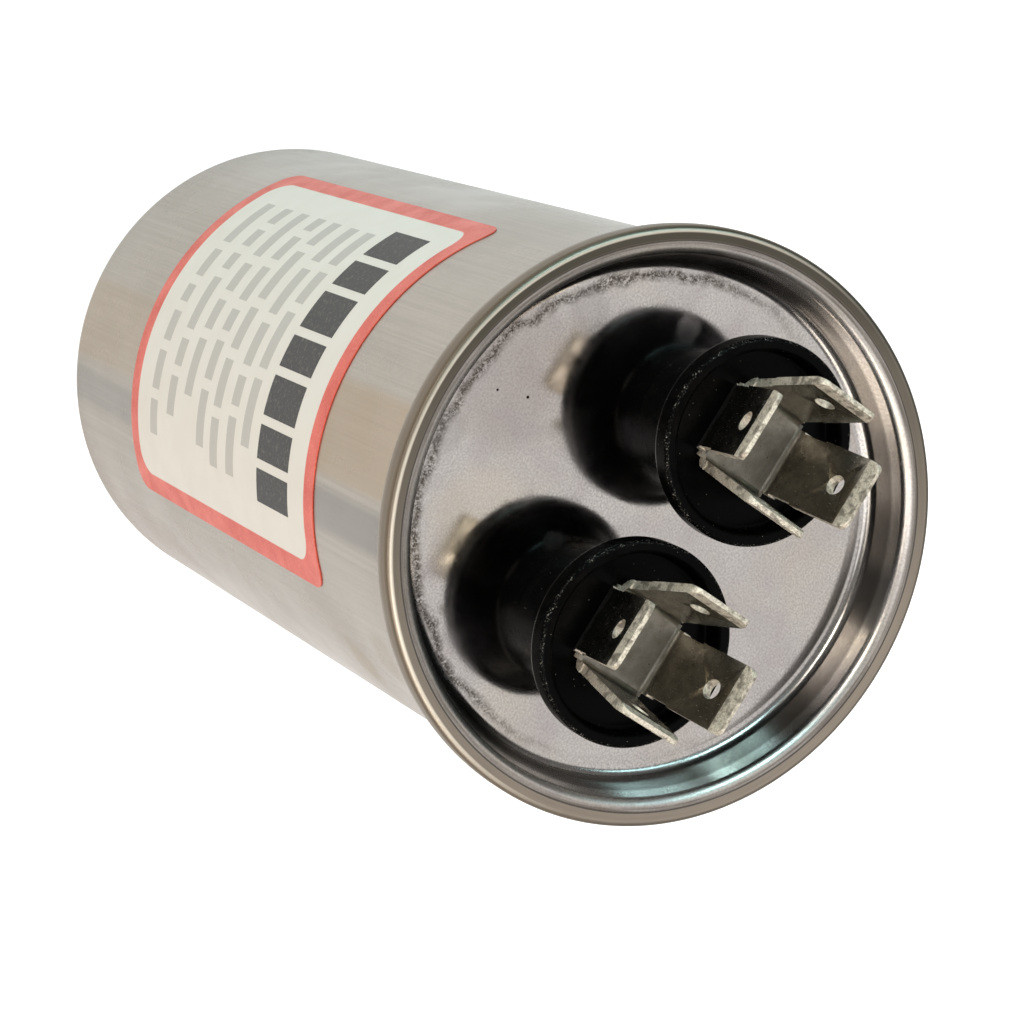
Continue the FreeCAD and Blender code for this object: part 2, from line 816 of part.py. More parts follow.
def make_sleeves():
    low_a = lie_high + s.lead_bend + s.sleeve_inset
    low_b = lie_low + s.lead_bend + s.sleeve_inset
    high_b = lie_high - s.core_bend * tangent(slope_turn / 2) - s.sleeve_inset
    return [
        make_sleeve("sleeve_a", half_pitch, s.lug_reach, low_a, lug_under - s.snug),
        make_sleeve("sleeve_b", zero, zero, low_b, high_b),
    ]


# Build, check and write

pieces = [make_can(), make_lid(), make_seam_compound(), make_label()]
for letter, side in sides.items():
    pieces.append(make_bushing(letter, side))
    pieces.append(make_gasket(letter, side))
    pieces.append(make_terminal(letter, side))
    pieces.append(make_rivet(letter, side))
    pieces.append(make_inner_washer(letter, side))
    pieces.append(make_lug(letter, side))
pieces += make_winding()
pieces += [make_base_cup(), make_breaker_disc(), make_lead_a(), make_lead_b()]
pieces += make_sleeves()
doc.recompute()

for thing in doc.Objects:
    if "Invalid" in thing.State or "Error" in thing.State:
        raise RuntimeError("%s did not build: %s" % (thing.Name, thing.State))
for piece in pieces:
    if piece.Shape.isNull() or not piece.Shape.isValid():
        raise RuntimeError("%s has no valid shape" % piece.Label)
    if len(piece.Shape.Solids) != 1:
        raise RuntimeError("%s is not one solid" % piece.Label)

os.makedirs("parts", exist_ok=True)
for piece in pieces:
    piece.Shape.exportStep("parts/%s.step" % piece.Label)
    box = piece.Shape.BoundBox
    print("%-18s %9.1f mm3  z %6.2f to %6.2f" % (piece.Label, piece.Shape.Volume, box.ZMin, box.ZMax))
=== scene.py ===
import math

import bmesh
import bpy
from mathutils import Matrix, Vector
from mathutils.bvhtree import BVHTree


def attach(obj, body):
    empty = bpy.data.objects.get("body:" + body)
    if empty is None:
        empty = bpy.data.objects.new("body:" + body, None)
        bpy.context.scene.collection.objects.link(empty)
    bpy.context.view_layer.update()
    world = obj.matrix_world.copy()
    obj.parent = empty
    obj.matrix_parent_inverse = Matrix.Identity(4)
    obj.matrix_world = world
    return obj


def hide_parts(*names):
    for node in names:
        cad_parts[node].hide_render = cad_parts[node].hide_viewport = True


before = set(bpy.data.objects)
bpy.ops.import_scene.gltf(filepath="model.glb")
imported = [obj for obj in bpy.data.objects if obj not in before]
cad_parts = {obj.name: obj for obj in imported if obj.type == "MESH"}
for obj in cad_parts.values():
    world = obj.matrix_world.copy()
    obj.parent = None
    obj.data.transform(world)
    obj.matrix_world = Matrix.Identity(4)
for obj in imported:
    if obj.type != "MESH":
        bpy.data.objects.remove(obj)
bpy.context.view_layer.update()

scene = bpy.context.scene
mm = 0.001


# camera

camera = {
    "spot": (-22.4, 133.207, 321.022),  # mm
    "right": (0.52138, -0.740348, 0.42432),
    "up": (0.850977, 0.487966, -0.194234),
    "lens": 107.19,
}


def placeCamera():
    data = bpy.data.cameras.new("photoCamera")
    data.lens = camera["lens"]
    data.sensor_width = 36.0
    data.clip_start = 0.01
    data.clip_end = 20.0
    right = Vector(camera["right"])
    up = Vector(camera["up"])
    turn = Matrix((right, up, right.cross(up))).transposed().to_4x4()
    holder = bpy.data.objects.new("photoCamera", data)
    holder.matrix_world = Matrix.Translation(Vector(camera["spot"]) * mm) @ turn
    scene.collection.objects.link(holder)
    scene.camera = holder


placeCamera()
print("camera placed")


# colours and nodes

def hexColour(text):
    shades = [int(text[i:i + 2], 16) / 255 for i in (1, 3, 5)]
    linear = [c / 12.92 if c <= 0.04045 else ((c + 0.055) / 1.055) ** 2.4 for c in shades]
    return (*linear, 1.0)


def addNode(tree, kind, links=None, values=None, **settings):
    node = tree.nodes.new(kind)
    for name, setting in settings.items():
        setattr(node, name, setting)
    for socket, value in (values or {}).items():
        node.inputs[socket].default_value = value
    for socket, source in (links or {}).items():
        tree.links.new(source, node.inputs[socket])
    return node


def startMaterial(name, values):
    material = bpy.data.materials.new(name)
    material.use_nodes = True
    tree = material.node_tree
    tree.nodes.clear()
    shader = addNode(tree, "ShaderNodeBsdfPrincipled", values=values)
    addNode(tree, "ShaderNodeOutputMaterial", {"Surface": shader.outputs[0]})
    return material, tree, shader


def inMillimetres(tree):
    # Object coordinates, so that every pattern below is scaled per millimetre
    spot = addNode(tree, "ShaderNodeTexCoord")
    return addNode(tree, "ShaderNodeVectorMath", {0: spot.outputs["Object"]},
                   {"Scale": 1 / mm}, operation="SCALE").outputs[0]


def blend(tree, factor, low, high):
    # low and high are hex colours or sockets
    node = addNode(tree, "ShaderNodeMix", {0: factor}, data_type="RGBA")
    for socket, source in ((6, low), (7, high)):
        if isinstance(source, str):
            node.inputs[socket].default_value = hexColour(source)
        else:
            tree.links.new(source, node.inputs[socket])
    return node.outputs[2]


def rangeOf(tree, source, low, high, start=0.0, end=1.0):
    return addNode(tree, "ShaderNodeMapRange", {0: source},
                   {1: start, 2: end, 3: low, 4: high}).outputs[0]


def product(tree, *masks):
    whole = masks[0]
    for mask in masks[1:]:
        whole = addNode(tree, "ShaderNodeMath", {0: whole, 1: mask}, operation="MULTIPLY").outputs[0]
    return whole


def plus(tree, start, *extras):
    # start, with each extra mask added by its amount
    for mask, amount in extras:
        start = addNode(tree, "ShaderNodeMath", {0: mask, 2: start}, {1: amount},
                        operation="MULTIPLY_ADD").outputs[0]
    return start


def bandAt(tree, source, middle, reach, core, strength=1.0, **settings):
    # strength where source is within core of middle, falling to 0 at reach from it
    away = addNode(tree, "ShaderNodeMath", {0: source}, {1: middle}, operation="SUBTRACT")
    away = addNode(tree, "ShaderNodeMath", {0: away.outputs[0]}, operation="ABSOLUTE")
    return addNode(tree, "ShaderNodeMapRange", {0: away.outputs[0]},
                   {1: reach, 2: core, 3: 0.0, 4: strength}, **settings).outputs[0]


def radiusOf(tree, place):
    flat = addNode(tree, "ShaderNodeVectorMath", {0: place}, {1: (1, 1, 0)}, operation="MULTIPLY")
    return addNode(tree, "ShaderNodeVectorMath", {0: flat.outputs[0]}, operation="LENGTH").outputs["Value"]


def warped(tree, place, scale, amount):
    # place pushed about by noise, so that an outline drawn on it is uneven
    noise = addNode(tree, "ShaderNodeTexNoise", {"Vector": place}, {"Scale": scale, "Detail": 3.0})
    push = addNode(tree, "ShaderNodeVectorMath", {0: noise.outputs["Color"]}, {1: (0.5, 0.5, 0.5)},
                   operation="SUBTRACT")
    push = addNode(tree, "ShaderNodeVectorMath", {0: push.outputs[0]}, {"Scale": amount}, operation="SCALE")
    return addNode(tree, "ShaderNodeVectorMath", {0: place, 1: push.outputs[0]}).outputs[0]


def spotsOn(tree, place, spots):
    # each spot is (x, y, z, radius, strength) in mm; gives 0 outside all of them
    cover = None
    for x, y, z, radius, strength in spots:
        away = addNode(tree, "ShaderNodeVectorMath", {0: place}, {1: (x, y, z)}, operation="DISTANCE")
        disc = addNode(tree, "ShaderNodeMapRange", {0: away.outputs["Value"]},
                       {1: radius, 2: radius * 0.5, 3: 0.0, 4: strength},
                       interpolation_type="SMOOTHSTEP").outputs[0]
        if cover is None:
            cover = disc
        else:
            cover = addNode(tree, "ShaderNodeMath", {0: cover, 1: disc}, operation="MAXIMUM").outputs[0]
    return cover


def dress(tree, shader, tone, rough, height, depth):
    # depth is what a height of 1 stands for, in mm
    bump = addNode(tree, "ShaderNodeBump", {"Height": height}, {"Strength": 1.0, "Distance": depth * mm})
    for socket, source in (("Base Color", tone), ("Roughness", rough), ("Normal", bump.outputs[0])):
        tree.links.new(source, shader.inputs[socket])


def useMaterial(thing, *materials):
    # clearing the slots sets every face to the first one, so each face's own is kept aside
    slots = [min(face.material_index, len(materials) - 1) for face in thing.data.polygons]
    thing.data.materials.clear()
    for material in materials:
        thing.data.materials.append(material)
    thing.data.polygons.foreach_set("material_index", slots)


# meshes

def roundCorners(corners, steps, closed):
    # corners are (radius, height) or (radius, height, rounding) in mm
    # gives (radius, height, sharp) with a support point beside each corner
    support = 0.06
    count = len(corners)
    path = []
    for i, corner in enumerate(corners):
        here = Vector(corner[:2])
        if not closed and i in (0, count - 1):
            path.append((here.x, here.y, False))
            continue
        back = Vector(corners[i - 1][:2]) - here
        ahead = Vector(corners[(i + 1) % count][:2]) - here
        rounding = corner[2] if len(corner) > 2 else 0
        half = back.angle(ahead) / 2
        run = rounding / math.tan(half)
        enter = here + back.normalized() * run
        leave = here + ahead.normalized() * run
        if back.length - run > 4 * support:
            before = enter + back.normalized() * support
            path.append((before.x, before.y, False))
        if rounding == 0:
            path.append((here.x, here.y, True))
        else:
            middle = here + (back.normalized() + ahead.normalized()).normalized() * rounding / math.sin(half)
            first = enter - middle
            sweep = first.angle_signed(leave - middle)
            for step in range(steps + 1):
                spoke = first.copy()
                spoke.rotate(Matrix.Rotation(-sweep * step / steps, 2))
                path.append((middle.x + spoke.x, middle.y + spoke.y, False))
        if ahead.length - run > 4 * support:
            after = leave + ahead.normalized() * support
            path.append((after.x, after.y, False))
    return path


def turnedPiece(name, corners, centre=(0, 0, 0), around=256, steps=8, closed=True):
    # turns a section about the vertical through centre
    # its UV map, wrap, is the turn from the back (0 to 1) and the length along the section in metres
    path = roundCorners(corners, steps, closed)
    mesh = bmesh.new()
    wrap = mesh.loops.layers.uv.new("wrap")
    rings = []
    for radius, height, sharp in path:
        spots = 1 if radius < 1e-6 else around
        ring = []
        for i in range(spots):
            angle = math.radians(-90 + 360 * i / around)
            ring.append(mesh.verts.new((
                (centre[0] + radius * math.cos(angle)) * mm,
                (centre[1] + radius * math.sin(angle)) * mm,
                (centre[2] + height) * mm)))
        rings.append(ring)
    length = 0
    stations = [0]
    for a, b in zip(path, path[1:] + path[:1]):
        length += math.hypot(b[0] - a[0], b[1] - a[1])
        stations.append(length)
    pairs = list(zip(range(len(path)), range(1, len(path))))
    if closed:
        pairs.append((len(path) - 1, 0))
    for n, (low, high) in enumerate(pairs):
        for i in range(around):
            j = (i + 1) % around
            quad = [(rings[low], i, 0), (rings[low], j, 0), (rings[high], j, 1), (rings[high], i, 1)]
            verts = []
            marks = []
            for ring, k, top in quad:
                vert = ring[k % len(ring)]
                if vert in verts:
                    continue
                verts.append(vert)
                turn = (i + 1 if k == j else i) / around
                marks.append((turn, stations[n + top] * mm))
            face = mesh.faces.new(verts)
            face.smooth = True
            for loop, mark in zip(face.loops, marks):
                loop[wrap].uv = mark
    for ring, (radius, height, sharp) in zip(rings, path):
        if sharp and len(ring) > 1:
            for i in range(around):
                edge = mesh.edges.get((ring[i], ring[(i + 1) % around]))
                edge.smooth = False
    bmesh.ops.recalc_face_normals(mesh, faces=mesh.faces[:])
    return pieceFrom(mesh, name)


def pieceFrom(mesh, name):
    data = bpy.data.meshes.new(name)
    mesh.to_mesh(data)
    mesh.free()
    thing = bpy.data.objects.new(name, data)
    scene.collection.objects.link(thing)
    return thing


def settled(thing, name):
    # the evaluated shape as a plain mesh, with no modifier left
    graph = bpy.context.evaluated_depsgraph_get()
    data = bpy.data.meshes.new_from_object(thing.evaluated_get(graph), depsgraph=graph)
    data.name = name
    plain = bpy.data.objects.new(name, data)
    scene.collection.objects.link(plain)
    bpy.data.objects.remove(thing)
    plain.name = name
    return plain


def seat(thing, slot, *nodes):
    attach(thing, "root")
    if nodes:
        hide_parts(*nodes)


# can: 1050 aluminium, deep drawn and ironed

can = {
    "radius": 25.0,
    "wall": 0.4,
    "floor": 0.8,
    "corner": 2.0,
    "drawnIn": (24.95, 89.85, 91.05),
    "flange": 92.28,
    "hookIn": 25.65,
    "hookEnd": 91.77,
    "bright": "#aca298",
    "dull": "#9d948a",
    "speckle": "#958b81",
    "grease": "#a29684",
    "roughness": (0.2, 0.32),
    "paintedReflectionFade": (0.7, 1.0, 15.0, 85.0),  # strength of the painted reflection bands low down and high up, and those heights
    "paintedReflectionBands": [  # angle, half width, strength and colour of a band of painted reflection, one beige and one dark grey
        (106.5, 9.5, 0.55, "#a48c70"),
        (123.5, 4.0, 0.6, "#77726f"),
    ],
    "smudges": [(-22.1, 11.7, 82.4, 3.2, 0.5), (-23.5, 8.6, 73.6, 3.4, 0.65)],
}


def drawnAluminium():
    # ironing leaves fine lines up the wall that smear a reflection along it; painted reflection lies in two
    # bands up the wall, one beige and one dark grey; hands leave faint grease on it
    material, tree, shader = startMaterial("drawnAluminium", {
        "Metallic": 1.0, "Anisotropic": 0.6, "Anisotropic Rotation": 0.25})
    place = inMillimetres(tree)
    along = addNode(tree, "ShaderNodeMapping", {"Vector": place}, {"Scale": (3.2, 3.2, 0.035)})
    lines = addNode(tree, "ShaderNodeTexNoise", {"Vector": along.outputs[0]},
                    {"Scale": 1.0, "Detail": 4.0, "Roughness": 0.65})
    cloudy = addNode(tree, "ShaderNodeTexNoise", {"Vector": place}, {"Scale": 0.09, "Detail": 3.0})
    speckle = addNode(tree, "ShaderNodeTexNoise", {"Vector": place}, {"Scale": 4.5, "Detail": 1.0})
    tone = blend(tree, rangeOf(tree, lines.outputs[0], 0, 1, 0.3, 0.7), can["dull"], can["bright"])
    tone = blend(tree, rangeOf(tree, speckle.outputs[0], 0, 0.35, 0.35, 0.75), tone, can["speckle"])
    wrap = addNode(tree, "ShaderNodeUVMap", uv_map="wrap")
    turn = addNode(tree, "ShaderNodeSeparateXYZ", {0: wrap.outputs[0]}).outputs[0]
    height = addNode(tree, "ShaderNodeSeparateXYZ", {0: place}).outputs[2]
    fade = rangeOf(tree, height, *can["paintedReflectionFade"])
    # painted reflection: a band of other colour at each set angle round the can, stronger high up
    for angle, half, strength, colour in can["paintedReflectionBands"]:
        # the map starts at the back, and one turn is 1
        band = bandAt(tree, turn, (angle + 90) / 360, (half + 2) / 360, (half - 1) / 360, strength,
                      interpolation_type="SMOOTHSTEP")
        tone = blend(tree, product(tree, band, fade), tone, colour)
    smudge = spotsOn(tree, warped(tree, place, 0.25, 3.0), can["smudges"])
    tone = blend(tree, smudge, tone, can["grease"])
    rough = plus(tree, rangeOf(tree, cloudy.outputs[0], *can["roughness"], 0.3, 0.7), (smudge, 0.12))
    dress(tree, shader, tone, rough, lines.outputs[0], 0.0025)
    tangent = addNode(tree, "ShaderNodeTangent", direction_type="UV_MAP", uv_map="wrap")
    tree.links.new(tangent.outputs[0], shader.inputs["Tangent"])
    return material


def makeCan():
    inner = can["radius"] - can["wall"]
    hookOut = can["hookIn"] + can["wall"]
    drawn, drawnLow, drawnHigh = can["drawnIn"]
    piece = turnedPiece("can_shell", [
        (0, 0), (can["radius"], 0, can["corner"]),
        (can["radius"], drawnLow),
        (drawn, drawnHigh), (drawn, can["flange"]),
        (can["hookIn"], can["flange"]),
        (can["hookIn"], can["hookEnd"]),
        (hookOut, can["hookEnd"]),
        (hookOut, can["flange"] + can["wall"], can["wall"]),
        (inner, can["flange"] + can["wall"], 0.5),
        (inner, can["floor"], can["corner"] - can["wall"]),
        (0, can["floor"]),
    ], closed=False)
    useMaterial(piece, drawnAluminium())
    seat(piece, "can", "can")


makeCan()
print("can made")


# lid: bright tinplate, pressed and seamed onto the can

lid = {
    "sheet": 0.3,
    "panel": 88.4,
    "panelRadius": 23.2,
    "wallTop": 24.25,
    "rim": 93.4,
    "seamFoot": 91.05,
    "hookIn": 25.05,
    "hookTop": 92.0,
    "outer": 26.65,
    "shoulder": 1.0,
    "edge": 0.55,
    "fall": 0.35,  # the rim's top is lower at its inside
    "foot": 1.2,
    "holeRadius": 4.0,
    "holeOffset": 10.1,
    "tin": "#d9d6d1",
    "lilac": "#bfb9bb",
    "cream": "#dad3c5",
    "grain": "#938b8c",
    "rolled": ("#675e52", "#7a7063"),
    "roughness": (0.07, 0.16),
    "panelEdge": (21.9, 22.7),
    # heights between which the rim starts, then radii between which each part of it does
    "rimStart": (91.2, 92.2),
    "top": (25.3, 25.45),
    "upper": (24.15, 24.4, "#857b70"),
    "darkerShoulder": (24.7, 24.95, 25.28, 25.4, "#453e36"),  # starts and ends
    "outside": (26.4, 26.6, "#7d6e5e"),
    # radius, reach, core, strength and colour of a line round the rim: a painted highlight along the crest,
    # and a dark line in the crease that the chuck pressed, its mark deepened by painted shade
    "crestHighlight": (26.2, 0.2, 0.06, 0.6, "#d6ccbb"),
    "creaseMarkShade": (25.33, 0.11, 0.04, 0.8, "#2b2520"),
    "rimSideShade": (0.75, (0.83, 0.56, 0.0), "#26261f"),  # painted shade, darker and greener towards one side of the rim's top: strength, the side where it is darkest, colour
    "dirt": (91.45, 91.05, "#453e37"),  # held where the seam meets the can
    "darkRing": (21.8, 0.75, "#332d29"),  # radius, half width and colour of a broken dark ring round the foot of the wall
    "specks": [(2.29, 18.93, 88.4, 0.15, 1.0), (3.23, 16.1, 88.4, 0.18, 1.0),
               (-14.2, -11.5, 88.4, 0.13, 0.8)],
    "speckTone": "#0d0b0a",
    "greyTone": "#6f6a68",
    # painted shade and painted reflection on the panel, a darker lilac-brown patch and a cream one: x, y, z,
    # radius, strength and colour
    "paintedPanelPatches": [(4.5, 18.5, 88.4, 8.5, 0.32, "#857678"), (-7.9, 13.8, 88.4, 6.0, 0.35, "#ddd2ba")],
    "greys": [(-5.89, 6.65, 88.4, 1.3, 0.5), (15.95, 6.2, 88.4, 1.6, 0.45), (-3.0, 21.0, 88.4, 2.4, 0.3),
              (12.5, 15.5, 88.4, 2.6, 0.3)],
}


def brightTinplate():
    # reflowed tin over steel: nearly a mirror, with a soft mottle, a grain, dull spots where flux or fingers
    # dried, painted shade and painted reflection in patches on the panel, and a rim that the seaming rolls
    # rubbed in fine rings, with painted shade on one side and in its crease and a painted highlight along
    # its crest
    material, tree, shader = startMaterial("brightTinplate", {"Metallic": 1.0})
    place = inMillimetres(tree)
    radius = radiusOf(tree, place)
    parts = addNode(tree, "ShaderNodeSeparateXYZ", {0: place})
    mottle = addNode(tree, "ShaderNodeTexNoise", {"Vector": place},
                     {"Scale": 0.17, "Detail": 5.0, "Roughness": 0.6, "Distortion": 0.6})
    warm = addNode(tree, "ShaderNodeTexNoise", {"Vector": place}, {"Scale": 0.11, "Detail": 2.0})
    grain = addNode(tree, "ShaderNodeTexNoise", {"Vector": place}, {"Scale": 5.0, "Detail": 2.0})
    tone = blend(tree, rangeOf(tree, mottle.outputs[0], 0, 0.75, 0.42, 0.72), lid["tin"], lid["lilac"])
    tone = blend(tree, rangeOf(tree, warm.outputs[0], 0, 0.7, 0.5, 0.75), tone, lid["cream"])
    tone = blend(tree, rangeOf(tree, grain.outputs[0], 0, 0.5, 0.35, 0.7), tone, lid["grain"])
    # painted shade and painted reflection: broad soft patches on the panel
    for x, y, z, size, strength, colour in lid["paintedPanelPatches"]:
        paintedPatch = spotsOn(tree, warped(tree, place, 0.35, size * 0.5), [(x, y, z, size, strength)])
        tone = blend(tree, paintedPatch, tone, colour)

    # broken band of darker, duller patches round the foot of the wall, mostly on the label's side
    nudge = addNode(tree, "ShaderNodeTexNoise", {"Vector": place}, {"Scale": 0.3, "Detail": 3.0})
    off = addNode(tree, "ShaderNodeMath", {0: radius, 1: rangeOf(tree, nudge.outputs[0], -1.2, 1.2)},
                  operation="ADD").outputs[0]
    patch = addNode(tree, "ShaderNodeTexNoise", {"Vector": place},
                    {"Scale": 1.5, "Detail": 6.0, "Roughness": 0.8})
    fine = addNode(tree, "ShaderNodeTexNoise", {"Vector": place}, {"Scale": 6.0, "Detail": 3.0})
    patchy = rangeOf(tree, patch.outputs[0], 0, 1, 0.36, 0.5)
    grainy = rangeOf(tree, fine.outputs[0], 0.45, 1, 0.35, 0.6)
    labelSide = rangeOf(tree, parts.outputs[1], 0.1, 1.0, -6.0, 8.0)
    ringRadius, ringHalf, ringTone = lid["darkRing"]
    ring = product(tree, bandAt(tree, off, ringRadius, ringHalf, 0.1), patchy, grainy, labelSide)
    tone = blend(tree, ring, tone, ringTone)

    # the rim: rubbed, browner, in fine rings
    wrap = addNode(tree, "ShaderNodeUVMap", uv_map="wrap")
    around = addNode(tree, "ShaderNodeMapping", {"Vector": wrap.outputs[0]}, {"Scale": (14.0, 4000.0, 1.0)})
    rings = addNode(tree, "ShaderNodeTexNoise", {"Vector": around.outputs[0]},
                    {"Scale": 1.0, "Detail": 3.0, "Roughness": 0.7}, noise_dimensions="2D").outputs[0]
    high = rangeOf(tree, parts.outputs[2], 0, 1, *lid["rimStart"])
    top = product(tree, rangeOf(tree, radius, 0, 1, *lid["top"]), high)
    rubbed = blend(tree, rangeOf(tree, rings, 0.2, 0.8, 0.3, 0.7), *lid["rolled"])
    tone = blend(tree, top, tone, rubbed)

    # the chuck that held the lid while it was rolled left the top of the wall duller and browner; the rim's
    # shoulder is darker, in broken rings
    start, full, worn = lid["upper"]
    upper = product(tree, rangeOf(tree, radius, 0, 1, start, full), high)
    tone = blend(tree, rangeOf(tree, upper, 0, 0.5), tone, worn)
    start, full, last, end, shoulderTone = lid["darkerShoulder"]
    shoulder = product(tree, rangeOf(tree, radius, 0, 1, start, full),
                       rangeOf(tree, radius, 1, 0, last, end), high,
                       rangeOf(tree, rings, 0.55, 0.85, 0.35, 0.65))
    tone = blend(tree, shoulder, tone, shoulderTone)

    # painted shade: the rim's top is darker and greener towards one side; it is polished smoother along its
    # crest
    strength, shadedSide, green = lid["rimSideShade"]
    toSide = addNode(tree, "ShaderNodeVectorMath", {0: place}, {1: shadedSide}, operation="DOT_PRODUCT")
    rimSideShade = product(tree, rangeOf(tree, toSide.outputs["Value"], 0, strength, -10.0, 20.0), top)
    tone = blend(tree, rimSideShade, tone, green)
    start, full, brown = lid["outside"]
    tone = blend(tree, rangeOf(tree, radius, 0, 0.75, start, full), tone, brown)
    # painted highlight: a pale line along the crest, on the label's side
    *line, pale = lid["crestHighlight"]
    crestHighlight = product(tree, bandAt(tree, radius, *line), high, labelSide)
    tone = blend(tree, crestHighlight, tone, pale)
    # a dark line along the crease: the chuck's mark, deepened by painted shade
    *line, deep = lid["creaseMarkShade"]
    tone = blend(tree, product(tree, bandAt(tree, radius, *line), high), tone, deep)
    start, full, dirt = lid["dirt"]
    tone = blend(tree, rangeOf(tree, parts.outputs[2], 0, 0.6, start, full), tone, dirt)

    grey = spotsOn(tree, warped(tree, place, 0.6, 1.2), lid["greys"])
    tone = blend(tree, grey, tone, lid["greyTone"])
    speck = spotsOn(tree, place, lid["specks"])
    tone = blend(tree, speck, tone, lid["speckTone"])

    wall = rangeOf(tree, radius, 0, 1, *lid["panelEdge"])
    rough = rangeOf(tree, mottle.outputs[0], *lid["roughness"], 0.35, 0.75)
    rough = plus(tree, rough, (top, 0.1), (wall, 0.12), (upper, 0.14), (crestHighlight, -0.12), (ring, 0.3),
                 (grey, 0.3), (speck, 0.5))
    wavy = addNode(tree, "ShaderNodeTexNoise", {"Vector": place}, {"Scale": 0.12, "Detail": 1.0})
    relief = plus(tree, wavy.outputs[0], (product(tree, rings, top), 0.25), (grain.outputs[0], 0.1))
    dress(tree, shader, tone, rough, relief, 0.012)
    return material


def makeLid():
    sheet = lid["sheet"]
    panel = lid["panel"]
    rim = lid["rim"]
    foot = lid["seamFoot"]
    piece = turnedPiece("lid_pressed", [
        (0, panel - sheet),
        (lid["panelRadius"] + sheet, panel - sheet, lid["foot"] + sheet),
        (lid["wallTop"] + sheet, rim - sheet - lid["fall"], lid["shoulder"] - sheet),
        (lid["outer"] - sheet, rim - sheet, lid["edge"] - sheet),
        (lid["outer"] - sheet, foot + sheet),
        (lid["hookIn"] + sheet, foot + sheet),
        (lid["hookIn"] + sheet, lid["hookTop"]), (lid["hookIn"], lid["hookTop"]),
        (lid["hookIn"], foot, sheet),
        (lid["outer"], foot, 0.45),
        (lid["outer"], rim, lid["edge"]),
        (lid["wallTop"], rim - lid["fall"], lid["shoulder"]),
        (lid["panelRadius"], panel, lid["foot"]),
        (0, panel),
    ], closed=False)
    for side in (1, -1):
        mesh = bmesh.new()
        centre = Matrix.Translation((lid["holeOffset"] * side * mm, 0, panel * mm))
        bmesh.ops.create_cone(mesh, cap_ends=True, segments=96, radius1=lid["holeRadius"] * mm,
                              radius2=lid["holeRadius"] * mm, depth=2 * mm, matrix=centre)
        cutter = pieceFrom(mesh, "cutter")
        cut = piece.modifiers.new("hole", "BOOLEAN")
        cut.operation = "DIFFERENCE"
        cut.solver = "EXACT"
        cut.object = cutter
        piece = settled(piece, "lid_punched%d" % (side + 1))
        bpy.data.objects.remove(cutter)
    piece.name = "lid_shell"
    useMaterial(piece, brightTinplate())
    seat(piece, "lid", "lid")


makeLid()
print("lid made")


# bushings: black phenolic, moulded

bushing = {
    "offset": 10.1,
    "foot": 88.4,
    # radius, height over the foot, and rounding, from the bore round the outside into the cup
    "section": [
        (1.65, -1.1), (3.9, -1.1), (3.9, 0.8), (5.5, 0.8), (5.5, 0),
        (6.5, 0), (6.5, 4.0, 2.0), (8.4, 8.0), (9.1, 8.0, 0.35), (9.1, 10.2, 0.35),
        (7.95, 10.2, 0.35), (7.95, 8.1, 0.35), (2.45, 8.1), (2.45, 7.5), (1.65, 7.5),
    ],
    "black": "#030303",
    "worn": "#0a0908",
    "dust": "#8b8378",
    # tone of the painted highlights on the lip
    "points": "#c9c2b6",
    "rim": (8.78, 8.9),  # radii between which the flange's outside starts
    "underside": (96.62, 96.85),  # heights between which its lower edge ends
    "lip": (98.2, 98.4),  # heights between which its lip starts
    "gloss": (0.02, 0.6),  # of the moulding, and of that lower edge
    "roughness": (0.16, 0.34),
}


def mouldedPhenolic():
    # moulded thermoset: deep black with a soft shimmer, grey flecks of dust, a lower edge handled bright,
    # and a lip dotted with painted highlights in bright points
    material, tree, shader = startMaterial("mouldedPhenolic", {})
    place = inMillimetres(tree)
    parts = addNode(tree, "ShaderNodeSeparateXYZ", {0: place})
    # both bushings share the material, so radii are taken from the nearer one's middle
    side = addNode(tree, "ShaderNodeMath", {0: parts.outputs[0]}, operation="ABSOLUTE").outputs[0]
    side = addNode(tree, "ShaderNodeMath", {0: side}, {1: bushing["offset"]}, operation="SUBTRACT")
    across = addNode(tree, "ShaderNodeCombineXYZ", {0: side.outputs[0], 1: parts.outputs[1]})
    radius = radiusOf(tree, across.outputs[0])
    cloudy = addNode(tree, "ShaderNodeTexNoise", {"Vector": place},
                     {"Scale": 0.8, "Detail": 4.0, "Roughness": 0.6}).outputs[0]
    fine = addNode(tree, "ShaderNodeTexNoise", {"Vector": place}, {"Scale": 9.0, "Detail": 2.0}).outputs[0]
    cells = addNode(tree, "ShaderNodeTexVoronoi", {"Vector": place}, {"Scale": 1.9})
    sparse = addNode(tree, "ShaderNodeSeparateColor", {0: cells.outputs["Color"]})
    flecks = product(tree, rangeOf(tree, cells.outputs["Distance"], 0, 0.5, 0.1, 0.04),
                     rangeOf(tree, sparse.outputs[0], 0, 1, 0.7, 0.8))
    rim = rangeOf(tree, radius, 0, 1, *bushing["rim"])
    edge = product(tree, rangeOf(tree, parts.outputs[2], 1, 0, *bushing["underside"]), rim)
    tree.links.new(rangeOf(tree, edge, *bushing["gloss"]), shader.inputs["Specular IOR Level"])
    # painted highlights: bright points dotted along the lip
    lip = product(tree, rim, rangeOf(tree, parts.outputs[2], 0, 1, *bushing["lip"]),
                  rangeOf(tree, fine, 0, 0.6, 0.6, 0.72), rangeOf(tree, cloudy, 0.15, 1, 0.45, 0.6))
    tone = blend(tree, rangeOf(tree, cloudy, 0, 0.5, 0.45, 0.8), bushing["black"], bushing["worn"])
    tone = blend(tree, flecks, tone, bushing["dust"])
    tone = blend(tree, lip, tone, bushing["points"])
    rough = plus(tree, rangeOf(tree, cloudy, *bushing["roughness"], 0.35, 0.7), (flecks, 0.5))
    dress(tree, shader, tone, rough, fine, 0.006)
    return material


